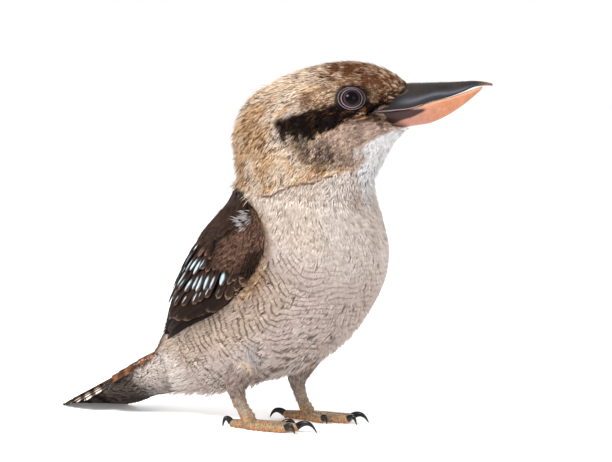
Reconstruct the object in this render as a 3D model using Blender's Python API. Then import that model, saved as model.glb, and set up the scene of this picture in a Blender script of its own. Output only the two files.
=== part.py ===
# A laughing kookaburra standing on the floor, life size, as a still museum model.
# It faces +X, with its right side towards -Y and the head turned to its left.
# Every length below is in millimetres and every angle in degrees; the meshes are made in metres.
import math

import bmesh
import bpy
import numpy as np

METRES = 0.001
GAP = 0.3

# The body is one tube of rings from the tail root (station 0) to the bill root (station 18).
# Each row gives a ring's dorsal point x, z, its ventral point x, z, and its half width,
# for a bird that looks straight ahead.
BODY_RINGS = (
    (-121, 44.5, -118, 19, 12),
    (-108, 64, -99, 19, 24),
    (-97.5, 88, -74, 20, 35),
    (-86, 109, -44, 28.5, 44),
    (-76, 128, 6.5, 43.5, 49),
    (-64, 144, 42.5, 71.5, 52),
    (-53.5, 157, 63.5, 104, 52.5),
    (-47, 168, 69, 130, 51),
    (-44, 178, 64.5, 153, 48.5),
    (-44, 189, 59.5, 171, 45.5),
    (-46, 203, 58.5, 184, 43),
    (-45.5, 221, 62.5, 193, 39.5),
    (-35.5, 241, 66, 200, 36.5),
    (-13, 257.6, 69, 206, 33),
    (14.5, 267, 72.5, 212, 29.5),
    (41, 270, 76.5, 216, 25.5),
    (62, 266, 80.5, 220, 18.3),
    (76.5, 258.7, 85, 222.5, 13.2),
    (86, 250, 86, 233, 6),
)
BODY_SQUARENESS = 2.2
HEAD_TURN = 25.0
TURN_STATIONS = (8.0, 12.0)
NECK_AXIS_X = 6.0
TORSO_END = 8.6
NECK_END = 11.4
HEAD_END = 18.0
RING_SIDES = 30
# Where the face's feathers end against the bill, seen from the side: x and z, from above the
# culmen down to the chin. All that lies in front of this line is bill.
FEATHER_EDGE = (
    (120, 280),
    (81.5, 264),
    (79.5, 255.5),
    (71, 246.7),
    (66, 239.5),
    (56.5, 234.2),
    (64.5, 231.2),
    (70, 224),
    (80.5, 221.5),
    (83, 212),
    (120, 205),
)

EYE_STATION, EYE_ANGLE = 14.1, 80.0
EYE_RADIUS, EYE_SUNK = 8.8, 6.3
LID_RADIUS, LID_THICKNESS = 8.3, 1.5

# Bill stations: x, culmen z, cutting edge z of the upper bill, half width.
UPPER_BILL = (
    (46, 241, 232.5, 12.5),
    (56, 247, 233.8, 13.6),
    (66, 251.5, 234.6, 13.6),
    (79, 255.2, 236.2, 12.6),
    (88, 255.6, 238.6, 11.2),
    (99, 255.8, 241.9, 9.3),
    (110, 256.0, 244.6, 7.3),
    (121, 256.4, 248.3, 5.2),
    (130, 256.7, 252.1, 3.4),
    (138, 256.0, 253.6, 1.9),
    (144, 254.4, 253.4, 0.8),
)
# Lower bill: x, cutting edge z, keel z, half width.
LOWER_BILL = (
    (46, 231.6, 227.5, 11.6),
    (56, 232.9, 226.5, 12.8),
    (66, 233.7, 224.0, 12.8),
    (79, 235.3, 222.8, 12.0),
    (88, 237.7, 223.8, 10.6),
    (99, 240.9, 225.8, 8.8),
    (110, 243.4, 230.6, 6.9),
    (118, 245.2, 235.6, 5.2),
    (125, 246.8, 240.6, 3.7),
    (132, 250.0, 246.6, 2.2),
    (136.5, 252.2, 250.6, 0.9),
)
NOSTRIL_AT, NOSTRIL_HALF, NOSTRIL_SLOPE = (75, 10.4, 247.6), (5.2, 2.4, 1.1), 25.0

# The edges of the folded wing on the body: station and angle from the back, shoulder to tip.
WING_DORSAL = ((8.05, 50), (7.5, 28), (6.4, 14), (5.0, 8), (3.7, 12), (2.6, 34), (1.75, 66))
WING_VENTRAL = ((7.75, 66), (7.1, 80), (6.1, 90), (5.1, 93), (4.0, 90), (2.9, 85), (1.7, 77))
WING_BULGE = ((0.2,), (1.6,), (3.8,), (5.2,), (5.6,), (5.4,), (3.4,))
WING_SAMPLES, WING_SIDES, WING_CLEAR, VANE_CLEAR = 14, 7, 0.9, 2.3

TAIL_ROOT = (-118.0, 0.0, 47.0)
TAIL_TIP = (-212.0, -4.0, -6.6)
TAIL_ROLL = 16.0
TAIL_PAIRS = 6
TAIL_GRADUATION = 2.7
TAIL_ARCH_RADIUS, TAIL_SHIFT = 31.0, 3.5
TAIL_VANE_HALF, TAIL_SPREAD = 6.8, (1.2, 2.1, 2.2, 4.1)
# The tail's fleshy root: reach along the tail, half width, depth of its top and of its underside.
TAIL_CORE = ((17, 15.5, 1.8, 24.5), (28, 17.5, 2.4, 21.5), (37, 17, 3.0, 16.5), (49, 13.5, 3.8, 10))
VANE_THICK, VANE_STEP = 0.55, 0.9
# Where along a vane (0 root, 1 tip) it has which share of its full width.
VANE_OUTLINE = ((0, 0.3, 0.7, 0.9, 1), (0.5, 0.78, 1, 0.86, 0.42))

# Legs: x, y, z and radius from inside the thigh down to the ankle, then down the bare tarsus.
LEG_PATHS = {
    "right": (
        (-22, -27, 62, 15.0),
        (-29, -27, 50, 12.8),
        (-35, -27, 39, 10.0),
        (-37, -27, 30, 7.8),
        (-35.5, -27.2, 22.5, 5.6),
    ),
    "left": (
        (0, 22, 64, 15.0),
        (-3, 21.5, 51, 13.0),
        (-7, 21, 40, 9.6),
        (-9.5, 20.5, 30, 6.8),
        (-7.5, 20, 21.5, 4.8),
    ),
}
TARSUS_PATHS = {
    "right": ((-35, -27.3, 21.6, 5.0), (-31.5, -27.8, 15, 4.5), (-27, -28.4, 8.5, 4.6), (-25, -28.8, 4, 4.2)),
    "left": ((-7, 20, 20.6, 4.5), (-4.5, 20, 14, 4.2), (-1.5, 19.8, 8, 4.4), (0, 19.6, 3.6, 4.2)),
}
# Toes: the hind toe first, then the inner, middle and outer toe, as x, y, z and radius.
TOE_PATHS = {
    "right": (
        ((-27, -28.8, 3.4, 3.8), (-34, -28.4, 2.9, 3.4), (-39.5, -28, 3.0, 2.9)),
        ((-25, -27, 3.3, 3.5), (-12, -20.5, 2.8, 3.1), (-4, -17.5, 3.1, 2.7)),
        ((-26, -28.5, 3.6, 4.2), (-13, -26.8, 3.2, 3.8), (0, -25, 3.0, 3.5), (10, -24, 3.2, 2.9)),
        ((-25, -31, 3.3, 3.8), (-9, -32.2, 2.9, 3.3), (4.5, -31.8, 3.2, 2.8)),
    ),
    "left": (
        ((-1, 19.5, 3.4, 3.8), (-11, 20.1, 3.0, 3.4), (-18.5, 19.6, 3.1, 2.9)),
        ((2, 17.5, 3.3, 3.4), (10, 14.0, 2.8, 3.1), (14.5, 12.4, 3.1, 2.7)),
        ((0, 19.5, 3.6, 4.2), (12, 19.6, 3.2, 3.7), (24, 19.8, 3.0, 3.4), (32.5, 19.0, 3.3, 2.8)),
        ((2, 22, 3.3, 3.8), (15, 26.4, 2.9, 3.4), (31, 28.2, 3.2, 2.8)),
    ),
}
# Claws, in the toes' order: where the point is and how high the back of the claw arches.
CLAW_TIPS = {
    "right": ((-46.5, -31.0, 6.4), (6.5, -14.5, 5.4), (27.0, -23.6, 6.8), (14.0, -34.0, 5.8)),
    "left": ((-30.0, 15.5, 5.8), (20.5, 8.6, 5.4), (42.0, 14.8, 5.8), (46.5, 27.2, 6.0)),
}
CLAW_BASE_RADIUS, CLAW_TIP_RADIUS = 2.3, 0.45


# Shapes


def through(rows, at):
    """Reads a smooth Catmull-Rom curve through the rows at the places in at, 0 being the first row."""
    rows = np.asarray(rows, float)
    at = np.asarray(at, float)
    here = np.clip(np.floor(at).astype(int), 0, len(rows) - 2)
    t = (at - here)[..., None]
    before, start = rows[np.maximum(here - 1, 0)], rows[here]
    end, beyond = rows[here + 1], rows[np.minimum(here + 2, len(rows) - 1)]
    slope = (end - before) * t
    bend = (2 * before - 5 * start + 4 * end - beyond) * t**2
    turn = (3 * (start - end) + beyond - before) * t**3
    return 0.5 * (2 * start + slope + bend + turn)


def unit(vector):
    return vector / np.linalg.norm(vector, axis=-1, keepdims=True)


def turned(points, station):
    """Turns points of the neck and head about the neck's axis; the turn grows along the neck."""
    first, last = TURN_STATIONS
    share = np.clip((station - first) / (last - first), 0, 1)
    angle = share**2 * (3 - 2 * share) * math.radians(HEAD_TURN)
    x, y = points[..., 0] - NECK_AXIS_X, points[..., 1]
    across = x * np.cos(angle) - y * np.sin(angle)
    along = x * np.sin(angle) + y * np.cos(angle)
    return np.stack([NECK_AXIS_X + across, along, points[..., 2]], -1)


def body_point(station, angle):
    """A point of the body's surface; the angle runs from the back over the left side."""
    dorsal_x, dorsal_z, ventral_x, ventral_z, half = np.moveaxis(through(BODY_RINGS, station), -1, 0)
    up, out = np.cos(np.radians(angle)), np.sin(np.radians(angle))
    reach = (np.abs(up) ** BODY_SQUARENESS + np.abs(out) ** BODY_SQUARENESS) ** (-1 / BODY_SQUARENESS)
    up, out = up * reach, out * reach
    x = (dorsal_x + ventral_x) / 2 + (dorsal_x - ventral_x) / 2 * up
    z = (dorsal_z + ventral_z) / 2 + (dorsal_z - ventral_z) / 2 * up
    return turned(np.stack([x, half * out, z], -1), station)


def body_normal(station, angle):
    """The outward direction of the body's surface, from small steps along it and round it."""
    step = 0.02
    along = body_point(station + step, angle) - body_point(station - step, angle)
    around = body_point(station, angle + 50 * step) - body_point(station, angle - 50 * step)
    return unit(np.cross(along, around))


def body_rings(first, last, count):
    stations = np.linspace(first, last, count)
    angles = np.arange(RING_SIDES) * 360 / RING_SIDES
    return body_point(stations[:, None], angles[None, :])


def moved_off(ring, towards):
    """The ring moved by the gap, square to its own plane, to the side where towards lies."""
    middle = ring.mean(axis=0)
    across = unit(np.cross(ring[0] - middle, ring[len(ring) // 4] - middle))
    return ring + across * math.copysign(GAP, across @ (towards - middle))


# Meshes


def mesh_object(name, points, faces, material=None):
    mesh = bpy.data.meshes.new(name)
    mesh.from_pydata((np.asarray(points, float) * METRES).tolist(), [], [list(map(int, f)) for f in faces])
    mesh.update()
    solid = bpy.data.objects.new(name, mesh)
    bpy.context.scene.collection.objects.link(solid)
    faces_out(solid)
    if material:
        mesh.materials.append(material)
    return solid


def faces_out(solid):
    work = bmesh.new()
    work.from_mesh(solid.data)
    bmesh.ops.recalc_face_normals(work, faces=work.faces)
    work.to_mesh(solid.data)
    work.free()


def tube(name, rings, material=None):
    """A closed tube through rings of equal count, with a flat fan at each end."""
    rings = np.asarray(rings, float)
    count, sides = rings.shape[:2]
    points = np.concatenate([rings.reshape(-1, 3), [rings[0].mean(axis=0), rings[-1].mean(axis=0)]])
    faces = []
    for side in range(sides):
        beside = (side + 1) % sides
        faces.append((count * sides, side, beside))
        last = (count - 1) * sides
        faces.append((count * sides + 1, last + beside, last + side))
        for ring in range(count - 1):
            low, high = ring * sides, (ring + 1) * sides
            faces.append((low + side, high + side, high + beside))
            faces.append((low + side, high + beside, low + beside))
    return mesh_object(name, points, faces, material)


def round_rings(path, samples, sides, grow=0.0, flat=1.0, dome=False):
    """Rings square to a smooth path of x, y, z and radius; dome rounds off both ends."""
    at = np.linspace(0, len(path) - 1, samples)
    rows = through(path, at)
    centres, radii = rows[:, :3], rows[:, 3] + grow
    heading = unit(np.gradient(centres, axis=0))
    if dome:
        cap = np.array([0.25, 0.7])
        before = centres[0] - heading[0] * (radii[0] * (1 - cap**2) ** 0.5)[:, None]
        after = centres[-1] + heading[-1] * (radii[-1] * (1 - cap[::-1] ** 2) ** 0.5)[:, None]
        centres = np.concatenate([before, centres, after])
        radii = np.concatenate([radii[0] * cap, radii, radii[-1] * cap[::-1]])
        heading = np.concatenate([heading[[0, 0]], heading, heading[[-1, -1]]])
    side = unit(np.cross(heading, [0.02, 1.0, 0.03]))
    other = np.cross(side, heading)
    angle = (np.arange(sides) + 0.5) * 2 * math.pi / sides
    across = np.cos(angle)[None, :, None] * side[:, None, :] * flat
    along = np.sin(angle)[None, :, None] * other[:, None, :]
    return centres[:, None, :] + radii[:, None, None] * (across + along)


def vane(spine, out, width, camber=0.10, tilt=0.0):
    """One feather's vane: a closed strip along spine, raised in the middle, with a round end.

    spine holds the points from root to tip, out the upward direction at each, width the half width
    at its widest, and tilt turns the strip about its spine. Both faces split along the same lines."""
    spine, out = np.asarray(spine, float), unit(np.asarray(out, float))
    heading = unit(np.gradient(spine, axis=0))
    side = unit(np.cross(heading, out))
    lean = math.radians(tilt)
    side, out = side * math.cos(lean) + out * math.sin(lean), out * math.cos(lean) - side * math.sin(lean)
    share = np.linspace(0, 1, len(spine))
    half = width * np.interp(share, *VANE_OUTLINE)
    rows = []
    for across, lift in ((-1, 0), (0, 1), (1, 0)):
        rows.append(spine + side * (across * half)[:, None] + out * (lift * camber * half)[:, None])
    upper = np.stack(rows, 1)
    lower = upper - out[:, None, :] * VANE_THICK
    points, faces, count = np.concatenate([upper, lower[:, ::-1]], axis=1).reshape(-1, 3), [], len(spine)
    for row in range(count - 1):
        low, high = row * 6, (row + 1) * 6
        for first, second in ((0, 1), (1, 2), (2, 3), (3, 4), (4, 5), (5, 0)):
            if first in (0, 1):
                faces += [(low + first, high + first, high + second)]
                faces += [(low + first, high + second, low + second)]
            else:
                faces += [(low + first, high + first, low + second)]
                faces += [(high + first, high + second, low + second)]
    for start in (0, (count - 1) * 6):
        faces += [tuple(start + corner for corner in four) for four in ((0, 1, 4, 5), (1, 2, 3, 4))]
    return mesh_object("vane", points, faces)


def joined(pieces, solver="MANIFOLD"):
    """Unites closed pieces into the first of them, then drops all but its largest closed surface."""
    base = pieces[0]
    group = bpy.data.collections.new("joining")
    bpy.context.scene.collection.children.link(group)
    for piece in pieces[1:]:
        bpy.context.scene.collection.objects.unlink(piece)
        group.objects.link(piece)
    union = base.modifiers.new("union", "BOOLEAN")
    union.operation, union.solver = "UNION", solver
    union.operand_type, union.collection = "COLLECTION", group
    applied(base)
    for piece in list(group.objects):
        bpy.data.objects.remove(piece)
    bpy.data.collections.remove(group)
    return largest_kept(base)


def cut(solid, cutter, keep_cutter=False, solver="MANIFOLD"):
    """Cuts the cutter out of the solid and keeps the solid's largest closed surface."""
    difference = solid.modifiers.new("cut", "BOOLEAN")
    difference.operation, difference.solver, difference.object = "DIFFERENCE", solver, cutter
    applied(solid)
    if not keep_cutter:
        bpy.data.objects.remove(cutter)
    return largest_kept(solid)


def applied(solid):
    """Turns what the modifiers give into the object's own mesh."""
    bpy.context.view_layer.update()
    graph = bpy.context.evaluated_depsgraph_get()
    mesh = bpy.data.meshes.new_from_object(solid.evaluated_get(graph))
    solid.modifiers.clear()
    solid.data = mesh


def largest_kept(solid):
    """Keeps the largest closed surface, with corners welded as far as it stays closed."""
    for weld in (2e-6, 5e-7, 1e-7, 0.0):
        work = bmesh.new()
        work.from_mesh(solid.data)
        islands = sorted(islands_of(work), key=lambda island: sum(face.calc_area() for face in island))
        dropped = [face for island in islands[:-1] for face in island]
        bmesh.ops.delete(work, geom=dropped, context="FACES")
        bmesh.ops.triangulate(work, faces=work.faces)
        if weld:
            bmesh.ops.remove_doubles(work, verts=work.verts, dist=weld)
            bmesh.ops.dissolve_degenerate(work, edges=work.edges, dist=weld / 4)
            bmesh.ops.triangulate(work, faces=work.faces)
        closed = all(len(edge.link_faces) == 2 for edge in work.edges)
        if closed or not weld:
            work.to_mesh(solid.data)
        work.free()
        if closed:
            break
    return solid


def islands_of(work):
    loose, islands = set(work.faces), []
    while loose:
        island, reached = set(), [next(iter(loose))]
        while reached:
            face = reached.pop()
            if face in island:
                continue
            island.add(face)
            reached += [other for edge in face.edges for other in edge.link_faces if other not in island]
        loose -= island
        islands.append(island)
    return islands


def finish(solid, name, material):
    solid.name = solid.data.name = name
    solid.data.materials.clear()
    solid.data.materials.append(material)
    solid.data.shade_smooth()
    solid.data.set_sharp_from_angle(angle=math.radians(40))
    return solid


def paint(name, colour, roughness, coat=0.0):
    material = bpy.data.materials.new(name)
    material.use_nodes = True
    shader = material.node_tree.nodes["Principled BSDF"]
    shader.inputs["Base Color"].default_value = (*colour, 1.0)
    shader.inputs["Roughness"].default_value = roughness
    shader.inputs["Metallic"].default_value = 0.0
    shader.inputs["Coat Weight"].default_value = coat
    material.diffuse_color = (*colour, 1.0)
    return material


# The body, in three lengths


def torso(material):
    rings = body_rings(0, TORSO_END, 20)
    return tube("torso", rings, material)


def neck(material):
    rings = body_rings(TORSO_END, NECK_END, 8)
    rings[0] = moved_off(rings[0], rings[2].mean(axis=0))
    return tube("neck", rings, material)


def head(material):
    rings = body_rings(NECK_END, HEAD_END, 16)
    rings[0] = moved_off(rings[0], rings[3].mean(axis=0))
    skull = tube("head", rings, material)
    for side in (-1, 1):
        skull = joined([skull, lid(side)])
        skull = cut(skull, eyeball(side, GAP))
    for grown in (upper_bill(None, GAP), lower_bill(None, GAP), face_cutter()):
        skull = cut(skull, grown)
    return skull


def face_cutter():
    """A prism over all that lies in front of the feathers' edge."""
    edge = np.array(FEATHER_EDGE, float)
    rings = [np.stack([edge[:, 0], np.full(len(edge), y), edge[:, 1]], -1) for y in (-45.0, 45.0)]
    points = turned(np.concatenate(rings), np.array(HEAD_END))
    count = len(edge)
    sides = [(i, (i + 1) % count, count + (i + 1) % count, count + i) for i in range(count)]
    return mesh_object("face", points, [tuple(range(count)), tuple(range(count, 2 * count)), *sides])


def eye_place(side):
    """The eye's centre, sunk below the surface, and the direction it looks in."""
    at = np.array(EYE_STATION), np.array(EYE_ANGLE * side)
    outward = body_normal(*at)
    return body_point(*at) - outward * EYE_SUNK, outward


def eyeball(side, grow=0.0, material=None):
    centre, outward = eye_place(side)
    tilt = np.linspace(0, math.pi, 12)[1:-1]
    radius = EYE_RADIUS + grow
    across = unit(np.cross(outward, [0, 0, 1.0]))
    above = np.cross(across, outward)
    turn = np.arange(18) * 2 * math.pi / 18
    circle = np.cos(turn)[:, None] * across + np.sin(turn)[:, None] * above
    rings = centre + radius * (np.cos(tilt)[:, None, None] * outward + np.sin(tilt)[:, None, None] * circle)
    return tube("eye", rings, material)


def lid(side):
    """A low ring of skin round the eye."""
    centre, outward = eye_place(side)
    lift = EYE_RADIUS**2 - LID_RADIUS**2
    middle = centre + outward * (math.sqrt(lift) + 2.6)
    across = unit(np.cross(outward, [0, 0, 1.0]))
    above = np.cross(across, outward)
    turn = np.arange(20) * 2 * math.pi / 20
    spoke = np.cos(turn)[:, None] * across * 1.07 + np.sin(turn)[:, None] * above
    points, faces = [], []
    profile = np.arange(5) * 2 * math.pi / 5
    for angle in profile:
        reach = LID_RADIUS + LID_THICKNESS * math.cos(angle)
        points.append(middle + spoke * reach + outward * LID_THICKNESS * 1.3 * math.sin(angle))
    points = np.stack(points, 1).reshape(-1, 3)
    for i in range(20):
        for j in range(5):
            here, beside = i * 5 + j, i * 5 + (j + 1) % 5
            following, across_it = (here + 5) % 100, (beside + 5) % 100
            faces += [(here, following, across_it), (here, across_it, beside)]
    return mesh_object("lid", points, faces)


# The bill


def bill_rings(rows, grow, keel):
    """Rings across the bill: a flat cutting side and a round back, keel +1 above and -1 below."""
    at = np.linspace(0, len(rows) - 1, 16)
    x, top, bottom, half = np.moveaxis(through(rows, at), -1, 0)
    edge, back = (bottom, top) if keel > 0 else (top, bottom)
    angle = np.radians(np.linspace(-90, 90, 11))
    rings = []
    for i in range(len(at)):
        depth = abs(back[i] - edge[i]) + 2 * grow
        y = (half[i] + grow) * np.sin(angle)
        z = edge[i] - keel * grow + keel * depth * np.cos(angle) ** 0.85
        arch = np.stack([np.full_like(y, x[i]), y, z], -1)
        floor = arch[[-1, 0]] * [1, 0.5, 1] + [0, 0, keel * min(0.9, 0.12 * depth)]
        rings.append(np.concatenate([arch, floor]))
    rings = np.asarray(rings)
    rings[:, :, 0] += grow * np.linspace(-1, 1, len(at))[:, None]
    return turned(rings, np.array(HEAD_END))


def upper_bill(material, grow=0.0):
    upper = tube("upper_bill", bill_rings(UPPER_BILL, grow, 1), material)
    if grow:
        return upper
    for side in (-1, 1):
        upper = cut(upper, nostril(side))
    return upper


def nostril(side):
    """A slanting slit cut into the side of the upper bill."""
    turn = np.arange(12) * 2 * math.pi / 12
    tilt = np.linspace(0, math.pi, 8)[1:-1]
    ball = np.stack(
        [
            np.cos(tilt)[:, None] * np.ones(12),
            np.sin(tilt)[:, None] * np.cos(turn),
            np.sin(tilt)[:, None] * np.sin(turn),
        ],
        -1,
    )
    ball *= NOSTRIL_HALF
    slope = math.radians(NOSTRIL_SLOPE)
    x = ball[..., 0] * math.cos(slope) - ball[..., 2] * math.sin(slope)
    z = ball[..., 0] * math.sin(slope) + ball[..., 2] * math.cos(slope)
    rings = np.stack([x, ball[..., 1], z], -1) + np.array(NOSTRIL_AT) * [1, side, 1]
    return tube("nostril", turned(rings, np.array(HEAD_END)))


def lower_bill(material, grow=0.0):
    return tube("lower_bill", bill_rings(LOWER_BILL, grow, -1), material)


# The wings


def wing_edge(share, across):
    """Station and angle on the body at a share of the wing's length and of its width."""
    dorsal = through(WING_DORSAL, share * (len(WING_DORSAL) - 1))
    ventral = through(WING_VENTRAL, share * (len(WING_VENTRAL) - 1))
    return dorsal + (ventral - dorsal) * across[..., None]


def wing_core(side):
    """The folded arm and its small coverts, a shell that lies on the body."""
    share, across = np.linspace(0, 1, WING_SAMPLES), np.linspace(0, 1, WING_SIDES)
    share, across = np.meshgrid(share, across, indexing="ij")
    place = wing_edge(share, across)
    at = place[..., 0], place[..., 1] * side
    surface, outward = body_point(*at), body_normal(*at)
    bulge = through(WING_BULGE, share * (len(WING_BULGE) - 1))[..., 0]
    height = WING_CLEAR + 0.8 + bulge * (1 - np.abs(2 * across - 1) ** 3)
    outer, inner = surface + outward * height[..., None], surface + outward * WING_CLEAR
    rings = np.concatenate([outer, inner[:, ::-1]], axis=1)
    return tube("wing", rings)


def wing_height(station, angle):
    """How far the shell's outer face stands off the body there, about level over its middle."""
    share = np.clip((8.0 - station) / 6.3, 0, 1)
    return through(WING_BULGE, share * (len(WING_BULGE) - 1))[..., 0]


def wing_vane(side, root, tip, width, lift, tilt, samples):
    """A vane that lies along the wing from root to tip, each a station and an angle."""
    share = np.linspace(0, 1, samples)
    station = root[0] + (tip[0] - root[0]) * share
    angle = (root[1] + (tip[1] - root[1]) * share) * side
    height = np.maximum(wing_height(station, angle) + lift[0] + (lift[1] - lift[0]) * share, VANE_CLEAR)
    outward = body_normal(station, angle)
    spine = body_point(station, angle) + outward * height[:, None]
    return vane(spine, outward, width, tilt=tilt * side)


# Tiers of the wing: how many vanes, root and tip of the lowest and of the highest, half width,
# lift of root and tip over the shell, tilt, and rows along the vane.
WING_TIERS = (
    (6, (5.3, 88), (1.72, 77), (4.4, 70), (2.45, 66), 3.4, (-1.2, 0.8), 9, 6),
    (6, (4.5, 84), (2.6, 82), (4.7, 28), (2.85, 44), 4.9, (-1.2, 1.1), 8, 5),
    (7, (5.2, 87), (3.35, 84), (5.3, 24), (3.55, 28), 5.2, (-1.6, 1.5), 8, 4),
    (7, (5.9, 88), (4.2, 86), (6.1, 26), (4.3, 24), 5.2, (-1.6, 2.0), 8, 4),
    (6, (6.6, 84), (5.1, 83), (6.7, 42), (5.1, 38), 5.0, (-1.6, 2.3), 8, 4),
    (4, (7.3, 52), (5.5, 48), (6.9, 26), (5.2, 20), 5.4, (0.6, 2.3), 6, 4),
)


def wing(side, material):
    pieces = [wing_core(side)]
    for count, root, tip, last_root, last_tip, width, lift, tilt, rows in WING_TIERS:
        for share in np.linspace(0, 1, count):
            start = np.array(root) + (np.array(last_root) - root) * share
            end = np.array(tip) + (np.array(last_tip) - tip) * share
            pieces.append(wing_vane(side, start, end, width, lift, tilt, rows))
    return joined(pieces)


# The tail


def tail_frame():
    """The tail's root, its direction, its left and its upper side, rolled a little to the left."""
    root, tip = np.array(TAIL_ROOT), np.array(TAIL_TIP)
    heading, roll = unit(tip - root), math.radians(TAIL_ROLL)
    level = unit(np.cross(heading, [0, 0, 1.0]))
    upright = np.cross(level, heading)
    side = level * math.cos(roll) - upright * math.sin(roll)
    above = upright * math.cos(roll) + level * math.sin(roll)
    return root, heading, side, above, np.linalg.norm(tip - root)


def tail_core():
    """The root of the tail with the soft coverts under it, tapering into the vanes."""
    root, heading, side, above, _ = tail_frame()
    turn = np.arange(RING_SIDES) * 2 * math.pi / RING_SIDES
    rings = [moved_off(body_point(np.array(0.0), np.degrees(turn)), root + heading * 40)]
    for reach, half, top, bottom in TAIL_CORE:
        centre = root + heading * reach - above * (top + bottom) / 2
        across, up = side * (half * np.sin(turn))[:, None], above * ((bottom - top) / 2 * np.cos(turn))[:, None]
        rings.append(centre + across + up)
    return tube("tail", rings)


def arched(reach, arc, depth):
    """A point of the tail: reach along it, arc round its arch from the midline, depth under it."""
    root, heading, side, above, _ = tail_frame()
    bend = np.asarray(arc / TAIL_ARCH_RADIUS)[..., None]
    out = above * np.cos(bend) + side * np.sin(bend)
    middle = root + heading * np.asarray(reach)[..., None] - above * TAIL_ARCH_RADIUS
    return middle + out * (TAIL_ARCH_RADIUS - np.asarray(depth))[..., None], out


def tail_vane(order, side_sign):
    """One tail feather: the outer ones spread round the arch and lie under the inner ones."""
    length = tail_frame()[-1]
    share = np.linspace(0, 1, 5)
    root_arc, root_step, tip_arc, tip_step = TAIL_SPREAD
    arc = root_arc + root_step * order + (tip_arc - root_arc + (tip_step - root_step) * order) * share
    layer = (order + 1 if order else (side_sign < 0)) + (0.13 if side_sign < 0 else 0.0)
    arc = arc + (0.17 if side_sign < 0 else 0.0)
    reach = 12.5 + (length - 12.5 - TAIL_GRADUATION * order**1.5) * share
    spine, out = arched(reach, side_sign * arc + TAIL_SHIFT, VANE_STEP * layer + 2.6 * (1 - share) ** 2)
    return vane(spine, out, TAIL_VANE_HALF, camber=0.09)


def tail_covert(order, under):
    """One of the long coverts that lie over and under the tail's root."""
    share = np.linspace(0, 1, 4)
    arc = 0.31 + order * (3.4 + 1.8 * share)
    layer = VANE_STEP * abs(order)
    if under:
        reach, depth = 16 + (48 - 4 * abs(order)) * share, 19.0 - layer - 10.0 * share
    else:
        reach, depth = 12 + (30 - 3 * abs(order)) * share, layer + 1.4 - 2.6 * share
    spine, out = arched(reach, arc, depth)
    return vane(spine, -out if under else out, 4.7, camber=0.05)


def tail(material):
    pieces = [tail_core()]
    for side_sign in (-1, 1):
        pieces += [tail_vane(order, side_sign) for order in range(TAIL_PAIRS)]
    for under in (False, True):
        pieces += [tail_covert(order, under) for order in range(-2, 3)]
    return cut(joined(pieces), below_floor())


# Legs and feet


def below_floor():
    """A slab under the floor, which leaves flats on what stands on it."""
    size, depth = 400.0, 40.0
    corners = [(x, y, z) for x in (-size, size) for y in (-size, size) for z in (-depth, 0.0)]
    faces = ((0, 1, 3, 2), (4, 6, 7, 5), (0, 4, 5, 1), (2, 3, 7, 6), (0, 2, 6, 4), (1, 5, 7, 3))
    return mesh_object("floor", corners, faces)


def leg(side, grow=0.0, material=None):
    return tube("leg", round_rings(LEG_PATHS[side], 9, 12, grow, dome=True), material)


def foot(side):
    """The bare tarsus and the four toes, fused, with flat soles."""
    pieces = [tube("tarsus", round_rings(TARSUS_PATHS[side], 6, 10, dome=True))]
    for path in TOE_PATHS[side]:
        pieces.append(tube("toe", round_rings(path, 6, 8, dome=True)))
    return cut(joined(pieces), below_floor())


def claw_path(side, toe):
    """A claw's arc from inside the toe's end over its arched back to its point."""
    end = np.array(TOE_PATHS[side][toe][-1][:3], float)
    x, y, high = CLAW_TIPS[side][toe]
    tip = np.array([x, y, 0.6])
    reach = unit((tip - end) * [1, 1, 0])
    start = end + reach * 1.2 + [0, 0, 0.6]
    arch = (start + tip) / 2 + reach * 1.0 + [0, 0, high - (start[2] + tip[2]) / 2]
    share = np.linspace(0, 1, 7)[:, None]
    control = 2 * arch - (start + tip) / 2
    centres = start * (1 - share) ** 2 + 2 * control * share * (1 - share) + tip * share**2
    radii = CLAW_BASE_RADIUS + (CLAW_TIP_RADIUS - CLAW_BASE_RADIUS) * share**1.3
    return np.concatenate([centres, radii], axis=1)


def claw(side, toe, grow=0.0, material=None):
    rings = round_rings(claw_path(side, toe), 8, 7, grow)
    return tube("claw", rings, material)


def build():
    plumage = paint("plumage", (0.62, 0.52, 0.42), 0.9)
    crown = paint("crown", (0.42, 0.30, 0.20), 0.9)
    wing_brown = paint("wing_brown", (0.075, 0.045, 0.030), 0.75)
    tail_brown = paint("tail_brown", (0.16, 0.085, 0.045), 0.75)
    horn_black = paint("horn_black", (0.035, 0.033, 0.036), 0.35, 0.3)
    horn_pale = paint("horn_pale", (0.66, 0.33, 0.19), 0.4, 0.2)
    skin = paint("foot_skin", (0.45, 0.28, 0.14), 0.6)
    eye_dark = paint("eye_dark", (0.02, 0.012, 0.012), 0.08, 1.0)

    body = torso(plumage)
    finish(neck(plumage), "neck", plumage)
    finish(head(crown), "head", crown)
    finish(upper_bill(horn_black), "upper_bill", horn_black)
    finish(lower_bill(horn_pale), "lower_bill", horn_pale)
    for side, sign in (("right", -1), ("left", 1)):
        finish(eyeball(sign, 0.0, eye_dark), f"eye_{side}", eye_dark)
        finish(wing(sign, wing_brown), f"wing_{side}", wing_brown)
        body = cut(body, leg(side, GAP))
        limb = leg(side)
        toes = foot(side)
        grown = tube("tarsus", round_rings(TARSUS_PATHS[side], 6, 10, GAP, dome=True))
        finish(cut(limb, grown), f"leg_{side}", plumage)
        for toe in range(4):
            toes = cut(toes, claw(side, toe, GAP))
            finish(claw(side, toe), f"claw_{side}_{toe + 1}", horn_black)
        finish(toes, f"foot_{side}", skin)
    finish(body, "torso", plumage)
    finish(tail(tail_brown), "tail", tail_brown)
    centre_over_origin()


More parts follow.
